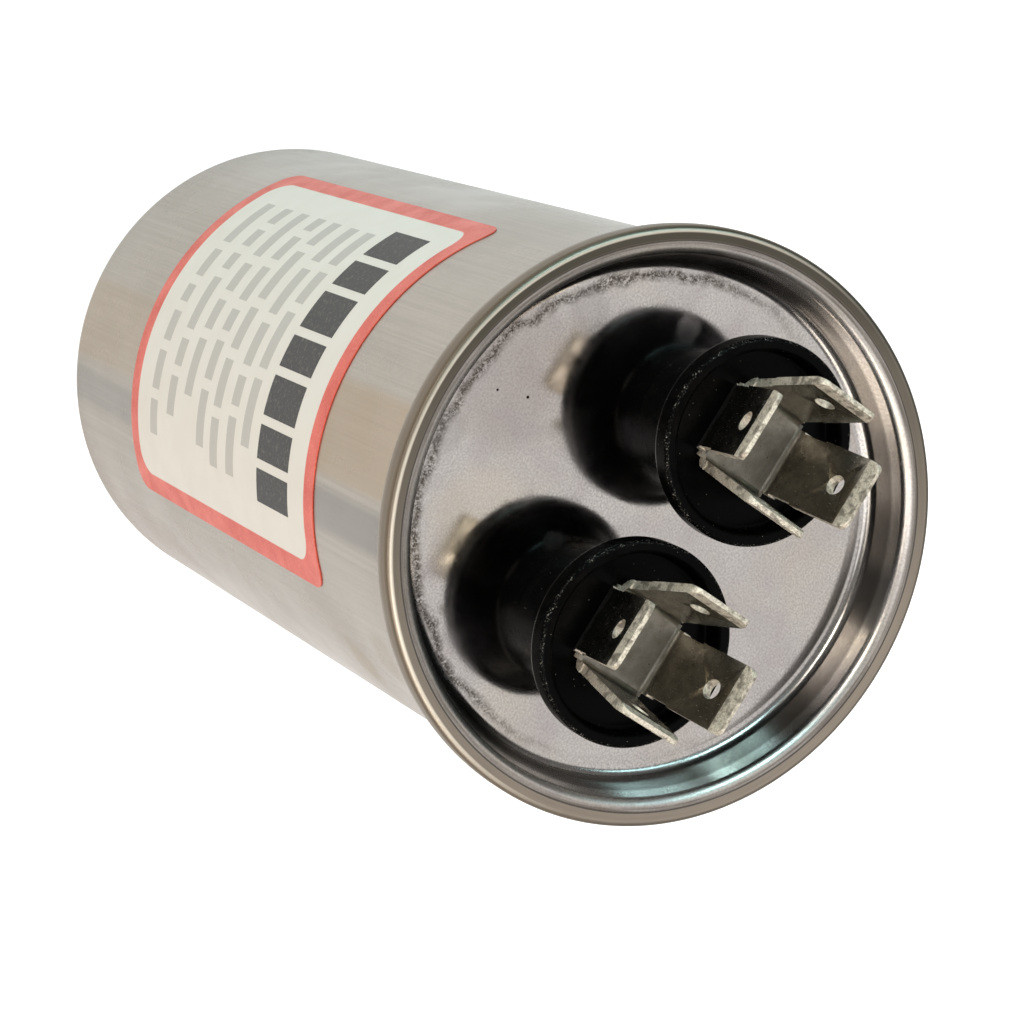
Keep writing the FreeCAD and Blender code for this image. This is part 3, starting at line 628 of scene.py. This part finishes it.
def makeBushings():
    phenolic = mouldedPhenolic()
    for letter, side in (("a", 1), ("b", -1)):
        piece = turnedPiece("bushing_%s_form" % letter, bushing["section"],
                            (bushing["offset"] * side, 0, bushing["foot"]), around=160, steps=6)
        useMaterial(piece, phenolic)
        seat(piece, "bushing", "bushing_" + letter)


makeBushings()
print("bushings made")


# terminals: tinned steel sheet, blanked and folded

terminal = {
    "sheet": 0.8,
    "bevel": 0.06,
    "tin": "#c0bbb0",
    "dark": "#857f74",
    "bright": "#e3ded4",
    "grain": "#807a70",
    # tone of the painted shade low in the cup
    "cupShade": "#4d4940",
    "rubbed": "#fff8ea",
    # tone of the tips, rubbed and with a painted highlight
    "pit": "#211d1a",
    "plateTop": (97.4, 98.6),
    "tipStart": (106.2, 106.35),
    "torn": ("#84796a", "#d8cebd", "#595045"),
    "roughness": (0.14, 0.3),
    "keen": 40,  # degrees; sharper edges are bevelled
}


def tinnedSheet():
    # rolled and tinned in the coil: a greyish brown shine with a grain along the roll, dark pits, and
    # light scratches from the receptacles pushed on in test
    material, tree, shader = startMaterial("tinnedSheet", {"Metallic": 1.0})
    place = inMillimetres(tree)
    height = addNode(tree, "ShaderNodeSeparateXYZ", {0: place}).outputs[2]
    cloudy = addNode(tree, "ShaderNodeTexNoise", {"Vector": place},
                     {"Scale": 0.9, "Detail": 5.0, "Roughness": 0.65}).outputs[0]
    grain = addNode(tree, "ShaderNodeTexNoise", {"Vector": place},
                    {"Scale": 7.0, "Detail": 3.0, "Roughness": 0.7}).outputs[0]
    along = addNode(tree, "ShaderNodeMapping", {"Vector": place}, {"Scale": (9.0, 9.0, 0.5)})
    rolled = addNode(tree, "ShaderNodeTexNoise", {"Vector": along.outputs[0]},
                     {"Scale": 1.0, "Detail": 4.0}).outputs[0]
    pits = addNode(tree, "ShaderNodeTexNoise", {"Vector": place}, {"Scale": 3.1, "Detail": 2.0})
    scratch = rangeOf(tree, rolled, 0, 0.5, 0.66, 0.72)
    pit = rangeOf(tree, pits.outputs[0], 0, 0.85, 0.7, 0.76)
    # painted shade, darkest low in the cup
    deep = rangeOf(tree, height, 0.75, 0, *terminal["plateTop"])
    # the tips are lighter: rubbed by receptacles, with a painted highlight where the chamfer catches the
    # light
    tip = product(tree, rangeOf(tree, height, 0, 1, *terminal["tipStart"]),
                  rangeOf(tree, grain, 0.95, 0.4, 0.35, 0.7))
    tone = blend(tree, rangeOf(tree, cloudy, 0, 1, 0.35, 0.7), terminal["tin"], terminal["dark"])
    tone = blend(tree, rangeOf(tree, grain, 0, 0.6, 0.4, 0.75), tone, terminal["grain"])
    # painted shade darkens the plate and what is low in the cup; the tips are lighter, rubbed by the
    # receptacles slid on over them and given a painted highlight
    for mask, colour in ((scratch, "bright"), (deep, "cupShade"), (tip, "rubbed"), (pit, "pit")):
        tone = blend(tree, mask, tone, terminal[colour])
    rough = rangeOf(tree, cloudy, *terminal["roughness"], 0.3, 0.75)
    rough = plus(tree, rough, (scratch, 0.25), (pit, 0.25), (deep, 0.25))
    relief = addNode(tree, "ShaderNodeMath", {0: grain, 1: rolled}, operation="ADD")
    dress(tree, shader, tone, rough, relief.outputs[0], 0.006)
    return material


def shearedEdge():
    # where the punch cut through: bare bright steel, torn across the sheet
    material, tree, shader = startMaterial("shearedEdge", {"Metallic": 0.75})
    place = inMillimetres(tree)
    torn = addNode(tree, "ShaderNodeTexNoise", {"Vector": place},
                   {"Scale": 6.0, "Detail": 4.0, "Roughness": 0.7}).outputs[0]
    coarse = addNode(tree, "ShaderNodeTexNoise", {"Vector": place}, {"Scale": 1.4, "Detail": 2.0})
    dull, bright, dark = terminal["torn"]
    tone = blend(tree, rangeOf(tree, torn, 0, 1, 0.3, 0.6), dull, bright)
    tone = blend(tree, rangeOf(tree, coarse.outputs[0], 0, 0.7, 0.5, 0.65), tone, dark)
    dress(tree, shader, tone, rangeOf(tree, torn, 0.45, 0.75, 0.3, 0.7), torn, 0.04)
    return material


def makeTerminals():
    finishes = (tinnedSheet(), shearedEdge())
    for letter in "ab":
        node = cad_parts["terminal_" + letter]
        mesh = bmesh.new()
        mesh.from_mesh(node.data)
        bmesh.ops.remove_doubles(mesh, verts=mesh.verts[:], dist=0.0005 * mm)
        bmesh.ops.dissolve_limit(mesh, angle_limit=math.radians(0.3), verts=mesh.verts[:],
                                 edges=mesh.edges[:])
        bmesh.ops.recalc_face_normals(mesh, faces=mesh.faces[:])
        keen = [edge for edge in mesh.edges
                if edge.is_manifold and edge.calc_face_angle() > math.radians(terminal["keen"])]
        bmesh.ops.bevel(mesh, geom=keen, offset=terminal["bevel"] * mm, offset_type="OFFSET",
                        segments=2, profile=0.5, affect="EDGES", clamp_overlap=True)
        bmesh.ops.triangulate(mesh, faces=mesh.faces[:])
        sortFaces(mesh)
        piece = pieceFrom(mesh, "terminal_%s_folded" % letter)
        piece.data.set_sharp_from_angle(angle=math.radians(20))
        weighted = piece.modifiers.new("weighted", "WEIGHTED_NORMAL")
        weighted.keep_sharp = True
        useMaterial(piece, *finishes)
        seat(piece, "terminal", "terminal_" + letter)


def sortFaces(mesh):
    # a face is sheet where the other side lies one thickness behind it and it isn't the side of a
    # tab; the others were cut by the punch
    probe = BVHTree.FromBMesh(mesh)
    inset = 0.01
    for face in mesh.faces:
        face.smooth = True
        start = face.calc_center_median() - face.normal * inset * mm
        spot, normal, index, depth = probe.ray_cast(start, -face.normal)
        thickness = depth / mm + inset if spot else 0.0
        middle = face.calc_center_median() / mm
        out = abs(abs(middle.x) - bushing["offset"])
        across = face.normal.y if out > abs(middle.y) else face.normal.x
        sheet = abs(thickness / terminal["sheet"] - 1) < 0.08 and abs(across) < 0.7
        face.material_index = 0 if sheet else 1


makeTerminals()
print("terminals made")


# label: printed film, wrapped part of the way round

label = {
    "inner": 25.02,
    "outer": 25.12,
    "low": 21.2,
    "high": 72.6,
    "middle": 96.0,  # degrees
    "arc": 93.0,
    "corner": 2.0,
    "band": 2.2,
    "bandCorner": 2.5,
    "red": "#cf4a34",
    "redDeep": "#c03c29",
    "redThin": "#e08a74",
    "field": "#cdc6bb",
    "fieldDeep": "#cbc3b8",
    "roughness": (0.34, 0.46),
    "ink": "#26211f",
    "faint": "#aea8a0",
}


def printedFilm():
    # screen printed polyester: a warm white with a soft sheen, and a red frame whose ink is thin and
    # uneven
    material, tree, shader = startMaterial("printedFilm", {"Specular IOR Level": 0.5})
    place = inMillimetres(tree)
    flat = addNode(tree, "ShaderNodeUVMap", uv_map="flat")
    flat = addNode(tree, "ShaderNodeVectorMath", {0: flat.outputs[0]}, {"Scale": 1 / mm},
                   operation="SCALE")
    flat = addNode(tree, "ShaderNodeVectorMath", {0: flat.outputs[0]}, operation="ABSOLUTE")
    corner = label["bandCorner"]
    halfWide = label["outer"] * math.radians(label["arc"]) / 2 - label["band"] - corner
    halfHigh = (label["high"] - label["low"]) / 2 - label["band"] - corner
    over = addNode(tree, "ShaderNodeVectorMath", {0: flat.outputs[0]}, {1: (halfWide, halfHigh, 0)},
                   operation="SUBTRACT")
    over = addNode(tree, "ShaderNodeVectorMath", {0: over.outputs[0]}, {1: (0, 0, 0)}, operation="MAXIMUM")
    away = addNode(tree, "ShaderNodeVectorMath", {0: over.outputs[0]}, operation="LENGTH")
    frameInk = rangeOf(tree, away.outputs["Value"], 0, 0.97, corner - 0.06, corner + 0.06)
    cloudy, grain = (addNode(tree, "ShaderNodeTexNoise", {"Vector": place},
                             {"Scale": scale, "Detail": detail}).outputs[0]
                     for scale, detail in ((0.35, 4.0), (5.0, 2.0)))
    paper = blend(tree, rangeOf(tree, cloudy, 0, 0.5, 0.4, 0.75), label["field"], label["fieldDeep"])
    red = blend(tree, rangeOf(tree, cloudy, 0, 1, 0.35, 0.65), label["red"], label["redDeep"])
    red = blend(tree, rangeOf(tree, grain, 0, 0.35, 0.5, 0.75), red, label["redThin"])
    rough = rangeOf(tree, cloudy, *label["roughness"], 0.3, 0.7)
    relief = plus(tree, grain, (frameInk, 2.0))
    dress(tree, shader, blend(tree, frameInk, paper, red), rough, relief, 0.0003)
    return material


def makeLabel():
    outer = label["outer"]
    half = outer * math.radians(label["arc"]) / 2
    corner = label["corner"]
    inward = [half - corner + corner * math.sin(math.radians(a)) for a in range(0, 91, 9)]
    steps = 44
    plain = [(half - corner) * i / steps for i in range(steps)]
    columns = [-s for s in reversed(plain[1:] + inward)] + plain + inward  # mm round the can
    middle = (label["low"] + label["high"]) / 2
    mesh = bmesh.new()
    flat = mesh.loops.layers.uv.new("flat")
    sides = []
    for s in columns:
        past = max(0.0, abs(s) - (half - corner))
        inset = corner - math.sqrt(max(0.0, corner ** 2 - past ** 2))
        reach = (label["high"] - label["low"]) / 2 - inset
        angle = math.radians(label["middle"]) + s / outer
        column = []
        for radius, way in ((outer, -1), (outer, 1), (label["inner"], 1), (label["inner"], -1)):
            vert = mesh.verts.new((radius * math.cos(angle) * mm, radius * math.sin(angle) * mm,
                                   (middle + way * reach) * mm))
            column.append((vert, (s * mm, way * reach * mm)))
        sides.append(column)
    quads = []
    for a, b in zip(sides, sides[1:]):
        for k in range(4):
            m = (k + 1) % 4
            quads.append((a[k], b[k], b[m], a[m]))
    quads.append(tuple(sides[0]))
    quads.append(tuple(reversed(sides[-1])))
    for quad in quads:
        face = mesh.faces.new([vert for vert, spot in quad])
        face.smooth = True
        for loop, (vert, spot) in zip(face.loops, quad):
            loop[flat].uv = spot
    bmesh.ops.recalc_face_normals(mesh, faces=mesh.faces[:])
    piece = pieceFrom(mesh, "label_sheet")
    piece.data.set_sharp_from_angle(angle=math.radians(40))
    useMaterial(piece, printedFilm())
    seat(piece, "label", "label")


makeLabel()


# print: rows of plain blocks where the label carries its wording, none of them a letter

printing = {
    # each row is its foot and its height in mm; the rest is along it
    "heading": {"rows": [(58.4, 8.0)],
                "start": -15.6, "end": 16.2, "marks": 7, "block": (3.0, 4.3), "gap": 0.9,
                "seed": 4, "ink": "ink"},
    "wording": {"rows": [(foot, 2.1) for foot in (53.9, 49.9, 45.4, 41.4, 36.9, 32.4, 27.4)],
                "start": -14.4, "end": 14.2, "marks": 9, "block": (1.9, 6.8), "gap": 1.1,
                "seed": 11, "ink": "faint"},
    "film": 0.02,
    "across": 21,  # points across a block, so that it follows the can
}


def screenInk(name, colour):
    # ink screened onto the film: matt, its edges and cover a little uneven
    material, tree, shader = startMaterial(name, {"Specular IOR Level": 0.4})
    place = inMillimetres(tree)
    cover = addNode(tree, "ShaderNodeTexNoise", {"Vector": place},
                    {"Scale": 2.4, "Detail": 4.0, "Roughness": 0.7}).outputs[0]
    tone = blend(tree, rangeOf(tree, cover, 0, 0.2, 0.5, 0.75), colour, label["field"])
    dress(tree, shader, tone, rangeOf(tree, cover, 0.4, 0.6, 0.3, 0.7), cover, 0.006)
    return material


def blocksTree(name, ink, settings):
    # points, one for each row, become rows of blocks of random width, wrapped round the can
    tree = bpy.data.node_groups.new(name, "GeometryNodeTree")
    sockets = tree.interface
    sockets.new_socket("Geometry", in_out="INPUT", socket_type="NodeSocketGeometry")
    for socket, value in settings.items():
        kind = "NodeSocketInt" if isinstance(value, int) else "NodeSocketFloat"
        sockets.new_socket(socket, in_out="INPUT", socket_type=kind)
    sockets.new_socket("Geometry", in_out="OUTPUT", socket_type="NodeSocketGeometry")
    given = addNode(tree, "NodeGroupInput").outputs
    tall = addNode(tree, "GeometryNodeInputNamedAttribute", None, {"Name": "tall"})
    row = addNode(tree, "GeometryNodeInputNamedAttribute", None, {"Name": "row"}, data_type="INT")
    copies = addNode(tree, "GeometryNodeDuplicateElements",
                     {"Geometry": given["Geometry"], "Amount": given["Marks"]})
    width = addNode(tree, "FunctionNodeRandomValue",
                    {2: given["Narrowest"], 3: given["Widest"], "Seed": given["Seed"]})
    kept = addNode(tree, "GeometryNodeStoreNamedAttribute",
                   {"Geometry": copies.outputs[0], "Value": width.outputs[1]}, {"Name": "width"})
    width = addNode(tree, "GeometryNodeInputNamedAttribute", None, {"Name": "width"}).outputs[0]
    step = addNode(tree, "ShaderNodeMath", {0: width, 1: given["Gap"]}, operation="ADD")
    before = addNode(tree, "GeometryNodeAccumulateField",
                     {"Value": step.outputs[0], "Group ID": row.outputs[0]}).outputs[1]
    reach = addNode(tree, "ShaderNodeMath", {0: before, 1: width}, operation="ADD")
    tooFar = addNode(tree, "FunctionNodeCompare", {0: reach.outputs[0], 1: given["Row Length"]},
                     operation="GREATER_THAN")
    centre = addNode(tree, "ShaderNodeMath", {0: width, 2: before}, {1: 0.5}, operation="MULTIPLY_ADD")
    shift = addNode(tree, "ShaderNodeCombineXYZ", {0: centre.outputs[0]})
    moved = addNode(tree, "GeometryNodeSetPosition",
                    {"Geometry": kept.outputs[0], "Offset": shift.outputs[0]})
    left = addNode(tree, "GeometryNodeDeleteGeometry",
                   {"Geometry": moved.outputs[0], "Selection": tooFar.outputs[0]})
    block = addNode(tree, "GeometryNodeMeshCube", None,
                    {"Vertices X": printing["across"], "Vertices Y": 2, "Vertices Z": 2})
    size = addNode(tree, "ShaderNodeCombineXYZ", {0: width, 1: tall.outputs[0], 2: given["Film"]})
    blocks = addNode(tree, "GeometryNodeInstanceOnPoints",
                     {"Points": left.outputs[0], "Instance": block.outputs["Mesh"],
                      "Scale": size.outputs[0]})
    real = addNode(tree, "GeometryNodeRealizeInstances", {"Geometry": blocks.outputs[0]})
    # x runs round the can, y up it and z out of it
    spot = addNode(tree, "GeometryNodeInputPosition")
    x, y, z = addNode(tree, "ShaderNodeSeparateXYZ", {0: spot.outputs[0]}).outputs
    angle = addNode(tree, "ShaderNodeMath", {0: x, 1: given["Wrap Radius"]}, operation="DIVIDE")
    angle = addNode(tree, "ShaderNodeMath", {0: angle.outputs[0], 1: given["Wrap Middle"]},
                    operation="ADD")
    out = addNode(tree, "ShaderNodeMath", {0: z, 1: given["Wrap Radius"]}, operation="ADD")
    waves = [addNode(tree, "ShaderNodeMath", {0: angle.outputs[0]}, operation=operation).outputs[0]
             for operation in ("COSINE", "SINE")]
    flat = [product(tree, out.outputs[0], wave) for wave in waves]
    placed = addNode(tree, "ShaderNodeCombineXYZ", {0: flat[0], 1: flat[1], 2: y})
    wrapped = addNode(tree, "GeometryNodeSetPosition",
                      {"Geometry": real.outputs[0], "Position": placed.outputs[0]})
    inked = addNode(tree, "GeometryNodeSetMaterial", {"Geometry": wrapped.outputs[0]},
                    {"Material": ink})
    addNode(tree, "NodeGroupOutput", {0: inked.outputs[0]})
    return tree


def printBlocks(name):
    plan = printing[name]
    start = plan["start"]
    data = bpy.data.meshes.new(name)
    data.from_pydata([(start * mm, (low + tall / 2) * mm, 0) for low, tall in plan["rows"]], [], [])
    for attribute, kind, values in (("row", "INT", range(len(plan["rows"]))),
                                    ("tall", "FLOAT", [tall * mm for low, tall in plan["rows"]])):
        layer = data.attributes.new(attribute, kind, "POINT")
        for spot, value in zip(layer.data, values):
            spot.value = value
    thing = bpy.data.objects.new(name, data)
    scene.collection.objects.link(thing)
    settings = {
        "Marks": plan["marks"],
        "Narrowest": plan["block"][0] * mm,
        "Widest": plan["block"][1] * mm,
        "Gap": plan["gap"] * mm,
        "Row Length": (plan["end"] - start) * mm,
        "Film": printing["film"] * mm,
        "Wrap Radius": label["outer"] * mm,
        "Wrap Middle": math.radians(label["middle"]),
        "Seed": plan["seed"],
    }
    tree = blocksTree(name + "Blocks", screenInk(name + "Ink", label[plan["ink"]]), settings)
    press = thing.modifiers.new("print", "NODES")
    press.node_group = tree
    for socket in tree.interface.items_tree:
        if socket.in_out == "INPUT" and socket.name in settings:
            press[socket.identifier] = settings[socket.name]
    piece = settled(thing, "label_" + name)
    seat(piece, "label")
    return len(piece.data.polygons)


print("label made,", printBlocks("heading") + printBlocks("wording"), "faces of print")


# what the can holds inside

inside = {
    # latex-filled rubber, flowed into the seam and cured dull
    "curedCompound": {
        "nodes": ["seam_compound"], "tones": ("#1d1c1b", "#34312e"),
        "grain": 1.2, "roughness": (0.5, 0.7), "relief": 0.02},
    # moulded EPDM: soft black with a bloom
    "mouldedRubber": {
        "nodes": ["gasket_a", "gasket_b"], "tones": ("#141313", "#2f2c2b"),
        "grain": 2.0, "roughness": (0.55, 0.75), "relief": 0.01},
    # headed brass, tinned: pale yellow where the tin is thin
    "tinnedBrass": {
        "nodes": ["rivet_a", "rivet_b", "lug_a", "lug_b"], "tones": ("#cfc5a8", "#b39f6d"),
        "grain": 0.9, "roughness": (0.22, 0.4), "relief": 0.008, "metallic": 1.0},
    # phenolic laminate: brown, with the weave of its cloth showing faintly
    "laminatedPhenolic": {
        "nodes": ["inner_washer_a", "inner_washer_b", "breaker_disc"],
        "tones": ("#4a2f1c", "#61422a"),
        "grain": 1.6, "roughness": (0.35, 0.5), "relief": 0.01},
    # wound metallised polypropylene: silver grey, ringed by its turns
    "metallisedFilm": {
        "nodes": ["winding"], "tones": ("#b6b8bd", "#8d9096"),
        "grain": 4.0, "roughness": (0.25, 0.4), "relief": 0.01, "turns": True},
    # moulded polypropylene: milky, smooth
    "mouldedPolypropylene": {
        "nodes": ["winding_core", "base_cup"], "tones": ("#d9d7d0", "#c8c5bc"),
        "grain": 0.5, "roughness": (0.35, 0.5), "relief": 0.01},
    # arc-sprayed zinc: grey, as rough as cast iron
    "sprayedZinc": {
        "nodes": ["end_spray_bottom", "end_spray_top"], "tones": ("#8b8c8e", "#5f6063"),
        "grain": 3.0, "roughness": (0.5, 0.75), "relief": 0.12, "metallic": 0.8},
    # plain polypropylene film, many turns: straw coloured gloss
    "woundFilm": {
        "nodes": ["winding_wrap"], "tones": ("#cfc6a8", "#bfb48f"),
        "grain": 0.4, "roughness": (0.15, 0.3), "relief": 0.01},
    # tinned wire: grey, with the copper showing through
    "tinnedCopper": {
        "nodes": ["lead_a", "lead_b"], "tones": ("#b9b4a9", "#a78d70"),
        "grain": 1.5, "roughness": (0.25, 0.4), "relief": 0.01, "metallic": 1.0},
    # glass-braided sleeve: off white
    "braidedSleeve": {
        "nodes": ["sleeve_a", "sleeve_b"], "tones": ("#d8d2c2", "#b7b09e"),
        "grain": 3.5, "roughness": (0.5, 0.7), "relief": 0.06},
}


def grainFinish(name, finish):
    material, tree, shader = startMaterial(name, {"Metallic": finish.get("metallic", 0.0)})
    place = inMillimetres(tree)
    if finish.get("turns"):
        place = addNode(tree, "ShaderNodeCombineXYZ", {0: radiusOf(tree, place)}).outputs[0]
    coarse = addNode(tree, "ShaderNodeTexNoise", {"Vector": place},
                     {"Scale": finish["grain"], "Detail": 5.0, "Roughness": 0.6}).outputs[0]
    tone = blend(tree, rangeOf(tree, coarse, 0, 1, 0.35, 0.65), *finish["tones"])
    rough = rangeOf(tree, coarse, *finish["roughness"], 0.3, 0.7)
    dress(tree, shader, tone, rough, coarse, finish["relief"])
    return material


for name, finish in inside.items():
    material = grainFinish(name, finish)
    for node in finish["nodes"]:
        useMaterial(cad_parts[node], material)
print("inside pieces finished")


# floor and studio light

studio = {
    "floor": "#b4b3b2",
    "floorGlow": 0.7,  # what the camera and glass see added, so that the floor reads white
    "sheet": (0.42, 0.24, 0.6),  # the same for gloss, and from where to where it fades, in metres
    "size": 6.0,
    "distance": 1.0,
    "aim": (0, 0, 0.06),
    "dim": 0.4,
    "wall": (0.8, 0.2, 0.42),  # what the camera sees low down, and where it fades to dim above
    # bearing and elevation in degrees, width and height in metres, radiance, colour
    "lamps": {
        "overhead": (283, 63, 1.0, 0.86, 1.5, "#f8f7f8"),
        "high": (168, 66, 0.5, 0.5, 3.4, "#ffffff"),
        "key": (83, 37, 0.34, 0.21, 15.0, "#fffaf3"),
        "side": (164, 40, 1.6, 0.34, 5.4, "#f6efe6"),
        "teal": (33, 40, 0.36, 0.22, 23.0, "#b6e2e8"),
        "tealLow": (358, 45, 0.3, 0.14, 11.0, "#b2e2ea"),
    },
}


def makeFloor():
    mesh = bmesh.new()
    half = studio["size"] / 2
    corners = ((-1, -1), (1, -1), (1, 1), (-1, 1))
    mesh.faces.new([mesh.verts.new((x * half, y * half, 0)) for x, y in corners])
    floor = pieceFrom(mesh, "floor")
    material, tree, shader = startMaterial("paleFloor", {
        "Roughness": 0.9, "Specular IOR Level": 0.1, "Base Color": hexColour(studio["floor"]),
        "Emission Color": (1, 1, 1, 1)})
    path = addNode(tree, "ShaderNodeLightPath").outputs
    seen = addNode(tree, "ShaderNodeMath",
                   {0: path["Is Camera Ray"], 1: path["Is Transmission Ray"]}, operation="MAXIMUM")
    glow = addNode(tree, "ShaderNodeMath", {0: seen.outputs[0]}, {1: studio["floorGlow"]},
                   operation="MULTIPLY")
    # what shines on the object mirrors a sheet of paper that ends not far away
    spot = addNode(tree, "ShaderNodeTexCoord")
    away = addNode(tree, "ShaderNodeVectorMath", {0: spot.outputs["Object"]}, operation="LENGTH")
    level, near, far = studio["sheet"]
    sheet = rangeOf(tree, away.outputs["Value"], level, 0, near, far)
    glow = addNode(tree, "ShaderNodeMath",
                   {0: glow.outputs[0], 1: product(tree, path["Is Glossy Ray"], sheet)}, operation="ADD")
    tree.links.new(glow.outputs[0], shader.inputs["Emission Strength"])
    useMaterial(floor, material)


def makeLamps():
    for name, (bearing, elevation, wide, high, radiance, colour) in studio["lamps"].items():
        data = bpy.data.lights.new(name, "AREA")
        data.shape = "RECTANGLE"
        data.size = wide
        data.size_y = high
        data.energy = radiance * math.pi * wide * high
        data.color = hexColour(colour)[:3]
        lamp = bpy.data.objects.new(name, data)
        a, e = math.radians(bearing), math.radians(elevation)
        away = Vector((math.cos(e) * math.cos(a), math.cos(e) * math.sin(a), math.sin(e)))
        lamp.location = Vector(studio["aim"]) + away * studio["distance"]
        lamp.rotation_euler = away.to_track_quat("Z", "Y").to_euler()
        scene.collection.objects.link(lamp)


def makeWorld():
    # the camera sees a pale wall that fades to dim above; all other rays meet dim all round
    world = bpy.data.worlds.new("studio")
    scene.world = world
    world.use_nodes = True
    tree = world.node_tree
    tree.nodes.clear()
    way = addNode(tree, "ShaderNodeTexCoord")
    up = addNode(tree, "ShaderNodeSeparateXYZ", {0: way.outputs["Generated"]})
    brightness, low, high = studio["wall"]
    pale = addNode(tree, "ShaderNodeMapRange", {0: up.outputs[2]},
                   {1: low, 2: high, 3: brightness, 4: studio["dim"]}, interpolation_type="SMOOTHSTEP")
    path = addNode(tree, "ShaderNodeLightPath")
    level = addNode(tree, "ShaderNodeMix", {0: path.outputs["Is Camera Ray"], 3: pale.outputs[0]},
                    {2: studio["dim"]}, data_type="FLOAT")
    light = addNode(tree, "ShaderNodeBackground", {"Strength": level.outputs[0]},
                    {"Color": (1, 1, 1, 1)})
    addNode(tree, "ShaderNodeOutputWorld", {0: light.outputs[0]})


makeFloor()
makeLamps()
makeWorld()
print("studio set")

scene.view_settings.view_transform = "Standard"
